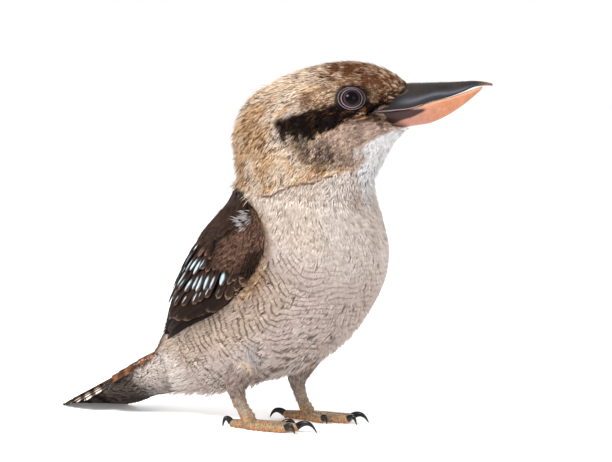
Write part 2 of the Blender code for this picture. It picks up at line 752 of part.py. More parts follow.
def centre_over_origin():
    """Moves the bird so that the middle of its length and width stands over the origin."""
    solids = [solid for solid in bpy.context.scene.objects if solid.type == "MESH"]
    points = np.concatenate([np.array([v.co[:] for v in solid.data.vertices]) for solid in solids])
    middle = (points.min(axis=0) + points.max(axis=0)) / 2
    for solid in solids:
        for vertex in solid.data.vertices:
            vertex.co.x -= middle[0]
            vertex.co.y -= middle[1]
        solid.data.update()


for thing in list(bpy.data.objects):
    bpy.data.objects.remove(thing)
build()
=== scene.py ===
import math

import bpy
import numpy as np
from mathutils import Matrix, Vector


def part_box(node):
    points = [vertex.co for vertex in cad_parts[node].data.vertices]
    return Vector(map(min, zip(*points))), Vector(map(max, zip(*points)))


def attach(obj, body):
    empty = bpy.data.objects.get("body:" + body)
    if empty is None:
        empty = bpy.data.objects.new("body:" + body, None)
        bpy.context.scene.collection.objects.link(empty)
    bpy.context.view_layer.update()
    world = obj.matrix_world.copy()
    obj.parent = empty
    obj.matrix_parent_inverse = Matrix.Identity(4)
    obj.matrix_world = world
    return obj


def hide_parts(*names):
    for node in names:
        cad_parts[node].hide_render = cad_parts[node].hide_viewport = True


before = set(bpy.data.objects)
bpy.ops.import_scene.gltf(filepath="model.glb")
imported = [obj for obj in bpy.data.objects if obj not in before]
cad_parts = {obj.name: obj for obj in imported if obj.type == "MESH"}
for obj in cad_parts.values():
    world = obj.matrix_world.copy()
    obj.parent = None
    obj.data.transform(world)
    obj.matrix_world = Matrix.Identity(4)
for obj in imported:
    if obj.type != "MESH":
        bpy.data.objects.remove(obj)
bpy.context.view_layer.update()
fewer = 1.0   # share of the small feathers made while trying things

# A laughing kookaburra. Lengths are in millimetres and angles in degrees until a mesh is made.
# The body is a tube of rings: station 0 at the tail root, 18 at the bill, angle 0 along the back.
body = {
    # dorsal x, z, ventral x, z, half width
    "rings": (
        (-121, 44.5, -118, 19, 12), (-108, 64, -99, 19, 24), (-97.5, 88, -74, 20, 35),
        (-86, 109, -44, 28.5, 44), (-76, 128, 6.5, 43.5, 49), (-64, 144, 42.5, 71.5, 52),
        (-53.5, 157, 63.5, 104, 52.5), (-47, 168, 69, 130, 51), (-44, 178, 64.5, 153, 48.5),
        (-44, 189, 59.5, 171, 45.5), (-46, 203, 58.5, 184, 43), (-45.5, 221, 62.5, 193, 39.5),
        (-35.5, 241, 66, 200, 36.5), (-13, 257.6, 69, 206, 33), (14.5, 267, 72.5, 212, 29.5),
        (41, 270, 76.5, 216, 25.5), (62, 266, 80.5, 220, 18.3), (76.5, 258.7, 85, 222.5, 13.2),
        (86, 250, 86, 233, 6)),
    "square": 2.2, "turn": 25.0, "turnFrom": 8.0, "turnTo": 12.0, "axisX": 6.0,
    # the line where the face's feathers end: x and z, from the chin up
    "edge": ((120, 205), (83, 212), (82, 220.8), (69, 222.8), (65, 226.5), (63.5, 231.2), (56.5, 234.2),
             (66, 239.5), (71, 246.7), (79.5, 255.5), (81.5, 264), (120, 280)),
    "billHalf": ((46, 13.0), (66, 14.0), (79, 13.0), (88, 11.6), (99, 9.6)),
    "taper": 9.0}


def through(rows, at):
    # a Catmull-Rom curve through the rows, read at the places in at; straight on past its ends
    rows, at = np.asarray(rows, float), np.asarray(at, float)
    within = np.clip(at, 0, len(rows) - 1)
    here = np.clip(np.floor(within).astype(int), 0, len(rows) - 2)
    t = (within - here)[..., None]
    a, b = rows[np.maximum(here - 1, 0)], rows[here]
    c, d = rows[here + 1], rows[np.minimum(here + 2, len(rows) - 1)]
    curve = 0.5 * (2 * b + (c - a) * t + (2 * a - 5 * b + 4 * c - d) * t**2 + (3 * (b - c) + d - a) * t**3)
    return curve + (at - within)[..., None] * (c - b)


def unit(v):
    return v / np.maximum(np.linalg.norm(v, axis=-1, keepdims=True), 1e-9)


def fade(x, low, high):
    # 0 below low, 1 above high, an S curve between
    t = np.clip((np.asarray(x, float) - low) / (high - low), 0, 1)
    return t * t * (3 - 2 * t)


def fall(x, low, high):
    # 1 below low, 0 above high
    return 1 - fade(x, low, high)


def bell(x):
    return np.exp(-(x**2))


def blot(x, y, inner, outer):
    # 1 in the middle of a round patch, 0 outside it
    return fall(np.hypot(x, y), inner, outer)


def grid(first, second):
    return np.meshgrid(first, second, indexing="ij")


def readAt(rows, at, column=1, by=0):
    # one column of a table of rows, read by another in straight lines
    table = np.array(rows, float)
    return np.interp(at, table[:, by], table[:, column])


def linear(rgb):
    # screen colour, 0 to 255, to the renderer's linear colour
    c = np.asarray(rgb, float) / 255
    return np.where(c <= 0.04045, c / 12.92, ((c + 0.055) / 1.055) ** 2.4)


def tones(**screen):
    return {name: linear(rgb) for name, rgb in screen.items()}


def flood(colour, like):
    # one colour for every place that like has
    return np.broadcast_to(colour, (*np.shape(like), 3))


def toward(colour, target, weight):
    # a colour moved a share of the way to another
    return colour + (target - colour) * np.asarray(weight)[..., None]


def turned(points, station):
    # the head and neck turned about the neck's axis, more with each station
    share = fade(station, body["turnFrom"], body["turnTo"])
    angle = share * math.radians(body["turn"])
    x, y = points[..., 0] - body["axisX"], points[..., 1]
    return np.stack([body["axisX"] + x * np.cos(angle) - y * np.sin(angle),
                     x * np.sin(angle) + y * np.cos(angle), points[..., 2]], -1)


def edgeX(z):
    return readAt(body["edge"], z, 0, 1)


def straightBody(station, angle):
    # a ring's point: a squarish ellipse between its dorsal and ventral points
    dorsalX, dorsalZ, ventralX, ventralZ, half = np.moveaxis(through(body["rings"], station), -1, 0)
    up, out = np.cos(np.radians(angle)), np.sin(np.radians(angle))
    p = body["square"]
    reach = (np.abs(up) ** p + np.abs(out) ** p) ** (-1 / p)
    x = (dorsalX + ventralX) / 2 + (dorsalX - ventralX) / 2 * up * reach
    z = (dorsalZ + ventralZ) / 2 + (dorsalZ - ventralZ) / 2 * up * reach
    return np.stack([x, half * out * reach, z], -1)


def wholeBody(station, angle):
    return turned(straightBody(station, angle), station)


def bodyPoint(station, angle, ends=True):
    # the ring's point, drawn in to the bill where the face's feathers end, then turned
    x, y, z = np.moveaxis(straightBody(station, angle), -1, 0)
    limit, onHead = edgeX(z), np.asarray(station) > 12.5
    near = fade(x, limit - body["taper"], limit) * onHead
    slim = np.minimum(np.abs(y), readAt(body["billHalf"], x) + 0.5)
    y = np.sign(y) * (np.abs(y) + (slim - np.abs(y)) * near)
    x = np.where(ends & onHead, np.minimum(x, limit), x)
    return turned(np.stack([x, y, z], -1), station)


def slopes(point, u, v, stepU=0.03, stepV=1.2):
    alongU = (point(u + stepU, v) - point(u - stepU, v)) / (2 * stepU)
    alongV = (point(u, v + stepV) - point(u, v - stepV)) / (2 * stepV)
    return alongU, alongV


def normalOf(point, u, v):
    alongU, alongV = slopes(point, u, v)
    return unit(np.cross(alongU, alongV))


# The meshes lie in the CAD's frame: the right eye's ball says how far the whole bird is moved.
eye = {"station": 14.1, "angle": 80.0, "radius": 8.8, "sunk": 6.3, "border": (10.7, 8.5)}


def eyePlace(side):
    # the ball's middle, and its axes out of the head, across and up
    at = np.array(eye["station"]), np.array(eye["angle"] * side)
    outward = normalOf(wholeBody, *at)
    across = unit(np.cross(outward, [0, 0, 1.0]))
    return wholeBody(*at) - outward * eye["sunk"], outward, across, np.cross(across, outward)


def eyeGap(points):
    # distance of points from the nearer eye's axis, stretched so that 1 is the lids' outer border
    gaps = []
    for side in (-1, 1):
        centre, outward, across, above = eyePlace(side)
        away = points - centre
        wide, tall = eye["border"]
        gaps.append(np.hypot(away @ across / wide, away @ above / tall) + 10 * (away @ outward < 0))
    return np.minimum(*gaps)


low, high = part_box("eye_right")
shift = (np.array(low) + np.array(high)) * 500 - eyePlace(-1)[0]
shift[2] = 0.0


# Meshes


def inwards(points, faces):
    a, b, c = (points[faces[:, k]] for k in range(3))
    return np.einsum("ij,ij->i", a, np.cross(b, c)).sum() < 0


def newObject(name, data):
    thing = bpy.data.objects.new(name, data)
    bpy.context.scene.collection.objects.link(thing)
    return thing


def makePiece(name, points, faces, material, replaces=(), tint=None, maps=None, marks=None):
    # points in millimetres, faces in triangles; tint and marks per point, maps per point too
    points = np.asarray(points, float).reshape(-1, 3)
    faces = np.asarray(faces, int).reshape(-1, 3)
    if inwards(points - points.mean(0), faces):
        faces = faces[:, ::-1]
    mesh = bpy.data.meshes.new(name)
    mesh.vertices.add(len(points))
    mesh.vertices.foreach_set("co", ((points + shift) * 0.001).astype(np.float32).ravel())
    mesh.loops.add(faces.size)
    mesh.loops.foreach_set("vertex_index", np.ascontiguousarray(faces).ravel().astype(np.int32))
    mesh.polygons.add(len(faces))
    mesh.polygons.foreach_set("loop_start", np.arange(0, faces.size, 3, dtype=np.int32))
    mesh.update(calc_edges=True)
    mesh.shade_smooth()
    if tint is not None:
        rgba = np.concatenate([np.clip(tint, 0, 1).reshape(-1, 3), np.ones((len(points), 1))], 1)
        layer = mesh.attributes.new("tint", "FLOAT_COLOR", "POINT")
        layer.data.foreach_set("color", rgba.astype(np.float32).ravel())
    for mapName, uv in (maps or {}).items():
        layer = mesh.uv_layers.new(name=mapName)
        layer.data.foreach_set("uv", np.asarray(uv, np.float32).reshape(-1, 2)[faces.ravel()].ravel())
    for markName, values in (marks or {}).items():
        layer = mesh.attributes.new(markName, "FLOAT", "POINT")
        layer.data.foreach_set("value", np.asarray(values, np.float32).ravel())
    piece = newObject(name, mesh)
    mesh.materials.append(material)
    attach(piece, "root")
    if replaces:
        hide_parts(*replaces)
    print(name, len(faces), "triangles")


def tubeFaces(count, sides):
    # rings of points, count along and sides round, with a point at each end after them
    ring, side = grid(np.arange(count - 1), np.arange(sides))
    a = (ring * sides + side).ravel()
    b = (ring * sides + (side + 1) % sides).ravel()
    c, d = a + sides, b + sides
    here, beside = np.arange(sides), (np.arange(sides) + 1) % sides
    last = (count - 1) * sides
    first, final = np.full(sides, count * sides), np.full(sides, count * sides + 1)
    return np.concatenate([np.stack([a, b, d], 1), np.stack([a, d, c], 1),
                           np.stack([beside, here, first], 1),
                           np.stack([last + here, last + beside, final], 1)])


def closedTube(rings):
    rings = np.asarray(rings, float)
    count, sides = rings.shape[:2]
    points = np.concatenate([rings.reshape(-1, 3), [rings[0].mean(0)], [rings[-1].mean(0)]])
    return points, tubeFaces(count, sides)


def withEnds(values):
    # values for each ring point of several tubes, with those of each tube's two end points
    flat = values.reshape(len(values), -1, *values.shape[3:])
    return np.concatenate([flat, flat[:, :1], flat[:, -1:]], 1)


def together(shells):
    # several closed shells as one mesh; each is points, faces and then anything per point
    moved, start = [], 0
    for shell in shells:
        moved.append(shell[1] + start)
        start += len(shell[0])
    points, _, *rest = (np.concatenate(column) for column in zip(*shells))
    return [points, np.concatenate(moved), *rest]


def ripple(points, size, seed):
    # smooth noise from -1 to 1: waves of about the given size in eight seeded directions
    draw = np.random.default_rng(seed)
    total = np.zeros(points.shape[:-1])
    for _ in range(8):
        direction = unit(draw.normal(size=3)) * 2 * math.pi / (size * draw.uniform(0.7, 1.5))
        total += np.sin(points @ direction + draw.uniform(0, 6.3))
    return total / 3.2


# Materials


class Wire:
    # a node's socket, with arithmetic
    def __init__(self, paint, socket):
        self.paint, self.socket = paint, socket

    def __add__(self, other):
        return self.paint.maths("ADD", self, other)

    def __radd__(self, other):
        return self.paint.maths("ADD", other, self)

    def __sub__(self, other):
        return self.paint.maths("SUBTRACT", self, other)

    def __rsub__(self, other):
        return self.paint.maths("SUBTRACT", other, self)

    def __mul__(self, other):
        return self.paint.maths("MULTIPLY", self, other)

    def __rmul__(self, other):
        return self.paint.maths("MULTIPLY", other, self)


class Paint:
    def __init__(self, name, **plain):
        self.material = bpy.data.materials.new(name)
        self.material.use_nodes = True
        self.tree = self.material.node_tree
        self.shader = self.tree.nodes["Principled BSDF"]
        for socket, value in plain.items():
            self.shader.inputs[socket.replace("_", " ")].default_value = value

    def node(self, kind, settings=None, sockets=None, out=0):
        made = self.tree.nodes.new(kind)
        for key, value in (settings or {}).items():
            if key == "stops":
                while len(made.color_ramp.elements) < len(value):
                    made.color_ramp.elements.new(0.5)
                for element, (place, colour) in zip(made.color_ramp.elements, value):
                    element.position, element.color = place, (*colour, 1.0)
            else:
                setattr(made, key, value)
        for key, value in (sockets or {}).items():
            if isinstance(value, Wire):
                self.tree.links.new(value.socket, made.inputs[key])
            else:
                made.inputs[key].default_value = value
        return Wire(self, made.outputs[out])

    def maths(self, operation, *values):
        return self.node("ShaderNodeMath", {"operation": operation}, dict(enumerate(values)))

    def noise(self, scale, detail=2.0, where=None):
        where = where or self.place()
        return self.node("ShaderNodeTexNoise", None, {"Vector": where, "Scale": scale, "Detail": detail})

    def sway(self, scale, detail, amount):
        # noise about nought
        return (self.noise(scale, detail) - 0.5) * amount

    def place(self):
        return self.node("ShaderNodeTexCoord", None, None, "Object")

    def attribute(self, name, out="Color"):
        return self.node("ShaderNodeAttribute", {"attribute_name": name}, None, out)

    def blend(self, factor, first, second, kind="MIX"):
        sockets = {0: factor, 6: first, 7: second}
        return self.node("ShaderNodeMix", {"data_type": "RGBA", "blend_type": kind}, sockets, 2)

    def ramp(self, value, *stops):
        return self.node("ShaderNodeValToRGB", {"stops": stops}, {0: value})

    def spread(self, value, low, high, fromLow=0.3, fromHigh=0.7):
        # from noise's usual range to the range low to high
        sockets = {"Value": value, "From Min": fromLow, "From Max": fromHigh, "To Min": low, "To Max": high}
        return self.node("ShaderNodeMapRange", None, sockets)

    def shaded(self, colour, factor):
        # a colour made lighter or darker by a factor
        grey = self.node("ShaderNodeCombineColor", None, {0: factor, 1: factor, 2: factor})
        return self.blend(1.0, colour, grey, "MULTIPLY")

    def finish(self, colour=None, roughness=None, height=None, strength=0.3, depth=0.0005):
        if height is not None:
            bump = self.node("ShaderNodeBump", None,
                             {"Height": height, "Strength": strength, "Distance": depth})
            self.tree.links.new(bump.socket, self.shader.inputs["Normal"])
        for socket, value in (("Base Color", colour), ("Roughness", roughness)):
            if value is not None:
                self.tree.links.new(value.socket, self.shader.inputs[socket])
        return self.material


def downMaterial(name):
    # soft feathers: the markings, crossed by broken wavy bars and the painted shadow line under the ruff,
    # mottled, over fine hairy relief
    paint = Paint(name, Roughness=0.9, Specular_IOR_Level=0.05)
    phase = paint.attribute("phase", "Fac") + paint.sway(190.0, 2.0, 0.8) + paint.sway(55.0, 2.0, 2.2)
    wave = paint.maths("COSINE", phase * (2 * math.pi))
    broken = paint.spread(paint.noise(120.0), 0.0, 1.0, 0.38, 0.54)
    bars = paint.spread(wave, 0.0, 1.0, 0.30, 0.92) * paint.attribute("barred", "Fac") * broken
    # a painted shadow line under the golden neck's overhanging feathers, where the neck ends
    away = paint.attribute("ruff", "Fac") - 4.9 + paint.sway(230.0, 3.0, 0.3)
    ruffShadow = paint.spread(paint.maths("ABSOLUTE", away), 1.0, 0.0, 0.03, 0.11)
    ruffShadow = ruffShadow * paint.spread(broken, 0.4, 1.0, 0.0, 1.0)
    colour = paint.shaded(paint.attribute("tint"), paint.spread(paint.noise(420.0, 3.0), 0.84, 1.16))
    dark = paint.blend(1.0, colour, (0.30, 0.235, 0.20, 1.0), "MULTIPLY")
    colour = paint.blend(paint.maths("MAXIMUM", bars, ruffShadow), colour, dark)
    return paint.finish(colour, height=paint.noise(2600.0), strength=0.25, depth=0.0002)


def vaneMaterial(name, roughness):
    # a feather's web: barbs run out from the shaft at a slant, each a fine line
    paint = Paint(name, Specular_IOR_Level=0.04)
    web = paint.node("ShaderNodeUVMap", {"uv_map": "web"})
    across, along = (paint.node("ShaderNodeSeparateXYZ", None, {0: web}, out) for out in (0, 1))
    away = paint.maths("ABSOLUTE", across - 0.5)
    barbs = paint.maths("SINE", (along * 10.0 - away * 1.6) * 55.0)
    mottle = paint.noise(330.0, 3.0)
    shade = paint.spread(mottle, 0.78, 1.22) + barbs * 0.10
    rough = paint.spread(mottle, roughness - 0.08, roughness + 0.1)
    return paint.finish(paint.shaded(paint.attribute("tint"), shade), rough, barbs, 0.35, 0.00012)


def hornMaterial(name, roughness, coat):
    # horn: long faint growth streaks, fine scratches, a worn polish
    paint = Paint(name, Specular_IOR_Level=0.2, Coat_Weight=coat, Coat_Roughness=0.2, Coat_IOR=1.35)
    turn = (0, 0, -math.radians(body["turn"]))
    stretch = paint.node("ShaderNodeMapping", None,
                         {"Vector": paint.place(), "Rotation": turn, "Scale": (0.16, 1.0, 1.0)})
    streaks, wear = paint.noise(900.0, 4.0, stretch), paint.noise(160.0, 3.0)
    shade = paint.spread(streaks, 0.9, 1.1) * paint.spread(wear, 0.86, 1.12)
    rough = paint.spread(wear, roughness - 0.08, roughness + 0.14)
    return paint.finish(paint.shaded(paint.attribute("tint"), shade), rough, streaks, 0.25, 0.0002)


def scaleMaterial(name):
    # foot skin: small pebbly scales between the scutes
    paint = Paint(name, Specular_IOR_Level=0.4)
    cells = paint.node("ShaderNodeTexVoronoi", None, {"Vector": paint.place(), "Scale": 1150.0})
    mottle = paint.noise(260.0, 3.0)
    shade = paint.spread(cells, 1.25, 0.45, 0.1, 0.8) * paint.spread(mottle, 0.75, 1.22)
    rough = paint.spread(mottle, 0.42, 0.62)
    return paint.finish(paint.shaded(paint.attribute("tint"), shade), rough, 1.0 - cells, 0.8, 0.0004)


def eyeMaterial():
    paint = Paint("eyeWet", Roughness=0.05, Specular_IOR_Level=0.03, Coat_Weight=0.25, Coat_Roughness=0.02,
                  Coat_IOR=1.25)
    fleck = paint.spread(paint.noise(1500.0, 3.0), 0.8, 1.2)
    return paint.finish(paint.shaded(paint.attribute("tint"), fleck))


def lidMaterial():
    paint = Paint("lidSkin", Specular_IOR_Level=0.3)
    folds = paint.noise(1700.0, 3.0)
    colour = paint.shaded(paint.attribute("tint"), paint.spread(folds, 0.7, 1.2))
    return paint.finish(colour, paint.spread(folds, 0.4, 0.6, 0.0, 1.0), folds, 0.5, 0.0002)


down = downMaterial("softFeather")
crownDown = downMaterial("crownFeather")
wingWeb = vaneMaterial("wingFeather", 0.5)
tailWeb = vaneMaterial("tailFeather", 0.52)
billBlack = hornMaterial("billHorn", 0.36, 0.2)
billPale = hornMaterial("billHornPale", 0.42, 0.1)
clawHorn = hornMaterial("clawHorn", 0.24, 0.4)
footScale = scaleMaterial("footScale")
eyeWet = eyeMaterial()
lidSkin = lidMaterial()
print("materials made")


# Markings, shared by skin and coat

palette = tones(
    belly=(204, 188, 180), breast=(230, 219, 213), chestSide=(228, 212, 198), flank=(196, 176, 160),
    golden=(206, 169, 131), nape=(176, 138, 102), forehead=(100, 62, 39), brow=(140, 106, 82),
    patch=(206, 200, 200), cream=(226, 212, 198), stripe=(24, 17, 15), stripeBrown=(80, 54, 38),
    rust=(150, 92, 46), cheek=(184, 156, 143), cheekDark=(70, 54, 46), throat=(246, 243, 243),
    mantle=(40, 28, 22), rump=(100, 78, 62), rumpRed=(112, 70, 46), vent=(218, 205, 197),
    streak=(74, 46, 28), pale=(240, 216, 184), shaft=(146, 122, 106), black=(22, 17, 15),
    shin=(166, 146, 136), shinDark=(96, 76, 64), tailUnder=(66, 54, 48))


stripe = {  # the dark band behind and below the eye: station, its upper and its lower angle
    "station": (10.85, 11.05, 11.35, 11.7, 12.2, 12.7, 13.15, 13.55, 14.0, 14.5, 14.85, 15.15, 15.5),
    "top": (84, 76, 66, 59, 65, 72, 77, 80, 84, 88, 90, 91, 92),
    "low": (86, 88, 90, 92, 96, 99, 101, 103, 105, 103, 99, 97, 94)}
throat = {"station": (8.0, 9.5, 10.7, 12, 13.2, 14.2, 15, 16),
          "edge": (172, 158, 137, 127, 128, 137, 142, 150)}
ruff = {  # the lower edge of the golden neck, where its feathers overhang the breast: angle, station
    "angle": (0, 60, 81, 88, 94, 102, 111, 116, 136, 180),
    "station": (8.2, 8.3, 8.6, 9.0, 9.3, 9.5, 9.65, 10.0, 10.7, 12.2)}

def lieLengths():
    # millimetres along the lie of the feathers, summed from station to station at each angle
    points = wholeBody(*grid(np.linspace(0, 18, 181), np.linspace(0, 180, 61)))
    steps = np.linalg.norm(np.diff(points, axis=0), axis=-1)
    return np.concatenate([0 * steps[:1], np.cumsum(steps, axis=0)])


lieSum = lieLengths()


def lieAt(station, angle):
    # the summed length read between the grid's lines
    a = np.clip(np.asarray(station) * 10, 0, 179.999)
    b = np.clip(np.abs(np.asarray(angle)) / 3, 0, 59.999)
    i, j = a.astype(int), b.astype(int)
    s, t = a - i, b - j
    return ((lieSum[i, j] * (1 - s) + lieSum[i + 1, j] * s) * (1 - t)
            + (lieSum[i, j + 1] * (1 - s) + lieSum[i + 1, j + 1] * s) * t)


# how height counts against the lie on the belly, and millimetres a bar
barPlan = {"rise": 1.22, "pitch": 4.7}
barLevel = float(lieAt(5.5, 112.0) - straightBody(np.array(5.5), np.array(112.0))[2] * barPlan["rise"])


def barMarks(station, angle):
    # where each wavy bar falls across the lie, as a phase, how strong the bars are, and the place by the
    # ruff's edge where its shadow line is painted
    u, a = np.asarray(station, float), np.abs(np.asarray(angle, float))
    height = straightBody(u, a)[..., 2] * barPlan["rise"] + barLevel
    lie = lieAt(u, a)
    lie = lie + (height - lie) * fade(a, 92, 132) * fade(u, 3.2, 4.6)
    chest = fade(a, 98, 126) * fade(u, 4.0, 5.2)
    strength = fall(u, 5.6, 7.4) * fade(u, 2.0, 2.5) * (0.95 - 0.42 * chest) * fade(a, 58, 72)
    strength = strength + 0.12 * fade(u, 6.0, 7.4) * fall(u, 8.0, 8.8) * fade(a, 80, 100)
    ruffPlace = (u - np.interp(a, ruff["angle"], ruff["station"]) + 5) * fade(a, 66, 67) * fall(a, 122, 123)
    return {"phase": lie / barPlan["pitch"], "barred": strength, "ruff": ruffPlace}


def wingEdges(station):
    # the angles between which the folded wing covers the body
    stations = (1.9, 2.6, 3.7, 5.0, 6.4, 7.2, 7.75, 8.05)
    return (np.interp(station, stations, (64, 36, 14, 10, 16, 24, 40, 52)),
            np.interp(station, stations, (68, 78, 82, 84, 80, 73, 62, 54)))


def markings(station, angle, where, chance, rim):
    # where is the point itself; chance is drawn once for each small feather; rim is 0 along its
    # shaft and 1 at its sides
    u, a = np.asarray(station, float), np.abs(np.asarray(angle, float))
    wobble, fine, shaft = ripple(where, 9.0, 1), ripple(where, 3.4, 2), fall(rim, 0.25, 0.6)
    speck = ripple(where, 1.9, 9) + 0.8 * (chance - 0.5)
    colour = flood(palette["belly"], u)

    def lay(name, weight):
        nonlocal colour
        colour = toward(colour, palette[name], weight)

    lay("breast", fade(u, 5.6, 7.8))
    lay("chestSide", fade(u, 5.4, 7.4) * fall(a, 105, 140) * 0.9)
    lay("flank", fall(u, 4.9, 6.2) * fall(a, 100, 126))
    # golden feathers below the wing and along its front edge
    fromWing = a - wingEdges(u)[1]
    lay("golden", blot((u - 5.2) / 0.9, (fromWing - 3) / 9, 0.3, 1.1) * 0.8)
    lay("streak", blot((u - 5.2) / 1.2, (fromWing - 3) / 11, 0.3, 1.1) * fall(chance, 0.34, 0.42) * 0.6)
    lay("shaft", shaft * fade(chance, 0.5, 0.75) * fade(u, 6.0, 7.4) * fade(a, 60, 80) * 0.75)
    patchy = ripple(where, 13.0, 5)
    lay("cream", fade(u, 5.6, 7.0) * fade(patchy, 0.0, 0.9) * 0.3)
    lay("nape", fade(u, 6.6, 8.4) * fade(a, 126, 160) * fade(-patchy + 0.5 * fine, -0.8, 0.7) * 0.32)
    front = fall(fromWing, 1, 9) * fade(u, 4.8, 5.6) * fade(a, 50, 60) * fall(u, 7.8, 8.2)
    lay("golden", front * 0.6)
    lay("streak", front * fall(chance, 0.2, 0.34) * 0.35)
    # golden neck down to the ruff
    edge = np.interp(a, ruff["angle"], ruff["station"]) + 0.08 * wobble
    golden = fade(u - edge + 0.3 * (chance - 0.5), -0.22, 0.1)
    drift, back = ripple(where, 17.0, 3), fall(a, 40, 74) * fall(u, 12.0, 12.8)
    lay("golden", golden)
    lay("nape", golden * back * 0.85 * fade(wobble, -1.2, 0.5))
    lay("nape", golden * fade(-drift, 0.0, 0.9) * 0.5)
    lay("cream", golden * fade(drift + 0.3 * wobble, -0.1, 0.8) * 0.65)
    ear = np.abs(a - np.interp(u, (9.9, 10.4, 10.8, 11.15, 11.5), (103, 90, 79, 71, 61)))
    lay("cream", golden * fall(ear, 2, 8) * fade(u, 9.8, 10.3) * fall(u, 11.3, 11.7) * 0.8)
    lay("brow", golden * fade(u, 12.2, 13.0) * fade(a, 52, 59))
    lay("cream", golden * fade(u, 12.0, 12.7) * fall(a, 46, 54) * 0.5)
    # streaks of single feathers: dark shafts and pale sides, most on the crown
    most = 0.42 + 0.02 * fade(u, 12.6, 14.4) * fall(a, 50, 66) - 0.14 * fade(a, 60, 90) * fall(u, 12, 13)
    lay("streak", golden * shaft * fall(chance, most, most + 0.12) * 0.9)
    lay("pale", golden * (1 - shaft) * fade(chance + 0.2 * fine, 0.35, 0.8) * (0.75 - 0.45 * back))
    # brown cap, darkest and reddest over the front of the eye
    reach = 52 + 22 * fade(u, 14.1, 14.7)
    cap = (fade(u + wobble * 0.25 + 0.5 * (chance - 0.5), 13.5, 14.4)
           * fall(a + 6 * (chance - 0.5), reach, reach + 12))
    lay("forehead", cap * (1 - 0.75 * fade(chance, 0.62, 0.82) * (1 - 0.4 * fade(u, 14.2, 14.8))))
    lay("black", cap * shaft * fall(chance, 0.3, 0.42) * 0.7)
    lay("pale", fade(u, 15.0, 16.0) * fade(speck, 0.4, 0.8) * fall(a, 60, 76) * 0.45)
    # cheek: grey brown feathers with pale sides under the band, darker at its back
    top, lower = (np.interp(u, stripe["station"], stripe[key]) for key in ("top", "low"))
    cheek = golden * fade(a - lower, -2, 3) * fade(u + 0.1 * wobble, 10.3, 11.0)
    lay("cheek", cheek)
    heart = blot((u - 11.05) / 0.85, (a - 103) / 21, 0.45, 1.2)
    lay("cheekDark", golden * heart * (0.72 + 0.28 * shaft) * (1 - 0.7 * fade(chance, 0.6, 0.8)))
    lay("cheekDark", cheek * (0.4 + 0.6 * shaft) * fall(chance + 0.3 * speck, 0.3, 0.5) * 0.65)
    lay("pale", cheek * (1 - 0.6 * shaft) * fade(0.4 * chance + 0.6 * speck, 0.3, 0.7) * 0.6)
    edge = np.interp(u, throat["station"], throat["edge"])
    lay("throat", fade(a + wobble * 4 - edge, -5, 6) * fade(u, 8.4, 9.8))
    # lores: pale and dark specks between eye and bill, and a dark line along the mouth: brown feathers with
    # rusty specks, and painted shadow under the gape
    lores = fade(u, 14.9, 15.3) * fade(a, 66, 78) * fall(a, 104, 112)
    lay("forehead", lores)
    lay("stripe", lores * fade(-speck, 0.0, 0.4) * 0.85)
    lay("pale", lores * fade(speck, 0.45, 0.85) * 0.6)
    below = np.interp(u, (13.0, 13.9, 14.3, 14.6, 15.0), (103, 107, 112, 117, 121))
    mouth = fall(np.abs(a - below), 3, 8) * fade(u, 13.0, 13.6) * fall(u, 15.2, 15.6)
    # the dark brown along the mouth is partly the feathers' own colour and partly painted shadow under the
    # gape
    lay("stripeBrown", mouth * fade(0.9 - speck, 0.0, 0.4) * 0.9)
    lay("rust", mouth * fade(speck, 0.5, 0.8) * 0.6)
    before = blot((u - 14.95) / 0.4, (a - 78) / 13, 0.5, 1.25)
    lay("stripeBrown", before * (1 - 0.5 * fade(chance, 0.75, 0.85)) * 0.9)
    # the band, its edges combed out along the feathers, rusty along its middle and lower edge
    combed = a + wobble * 1.5 + (chance - 0.5) * 9
    inside = (fade(combed - top, -2, 2) * fall(combed - lower, -2, 2)
              * fade(u + 1.2 * (chance - 0.5), 10.65, 11.5))
    lay("stripe", inside)
    lay("stripeBrown", inside * fade(chance, 0.66, 0.86) * 0.55)
    lay("stripe", fall(eyeGap(where), 1.12, 1.34) * (0.9 - 0.25 * fade(chance, 0.6, 0.8)))
    middle = np.interp(u, (12.6, 13.25, 13.9, 14.5), (77, 90, 96, 99))
    rusty = (bell((a - lower + 1.0) / 2.6) * fade(u, 11.9, 12.4) * fall(u, 13.9, 14.3)
             + bell((a - middle) / 2.4) * fade(u, 12.5, 12.9) * fall(u, 14.2, 14.6))
    lay("rust", np.clip(rusty, 0, 1) * fade(chance + 0.15 * fine, 0.6, 0.75) * 0.5)
    lay("patch", blot((u - 12.3) / 0.35, (a - 62) / 4, 0.3, 1.2) * 0.6 * fade(chance, 0.3, 0.5))
    # dark back between the wings, brown rump, white vent
    lay("mantle", fall(a, 44, 58) * fade(u, 3.0, 4.6) * fall(u + 0.4 * (chance - 0.5), 8.1, 8.5))
    lay("rump", fall(a, 50, 70) * fall(u, 3.4, 4.8))
    lay("rumpRed", fall(a, 50, 66) * fall(u + 0.6 * chance, 0.9, 2.2) * 0.8)
    white = u - np.interp(a, (50, 60, 68, 94, 107, 121, 143, 180), (0.4, 1.0, 1.3, 2.0, 2.2, 2.05, 1.75, 1.4))
    lay("vent", fall(white + 0.15 * wobble + 0.3 * (chance - 0.5), -0.25, 0.15) * fade(a, 54, 64))
    return colour


# The skin: body, thighs and the tail's fleshy root, inside the solids by the coat's depth

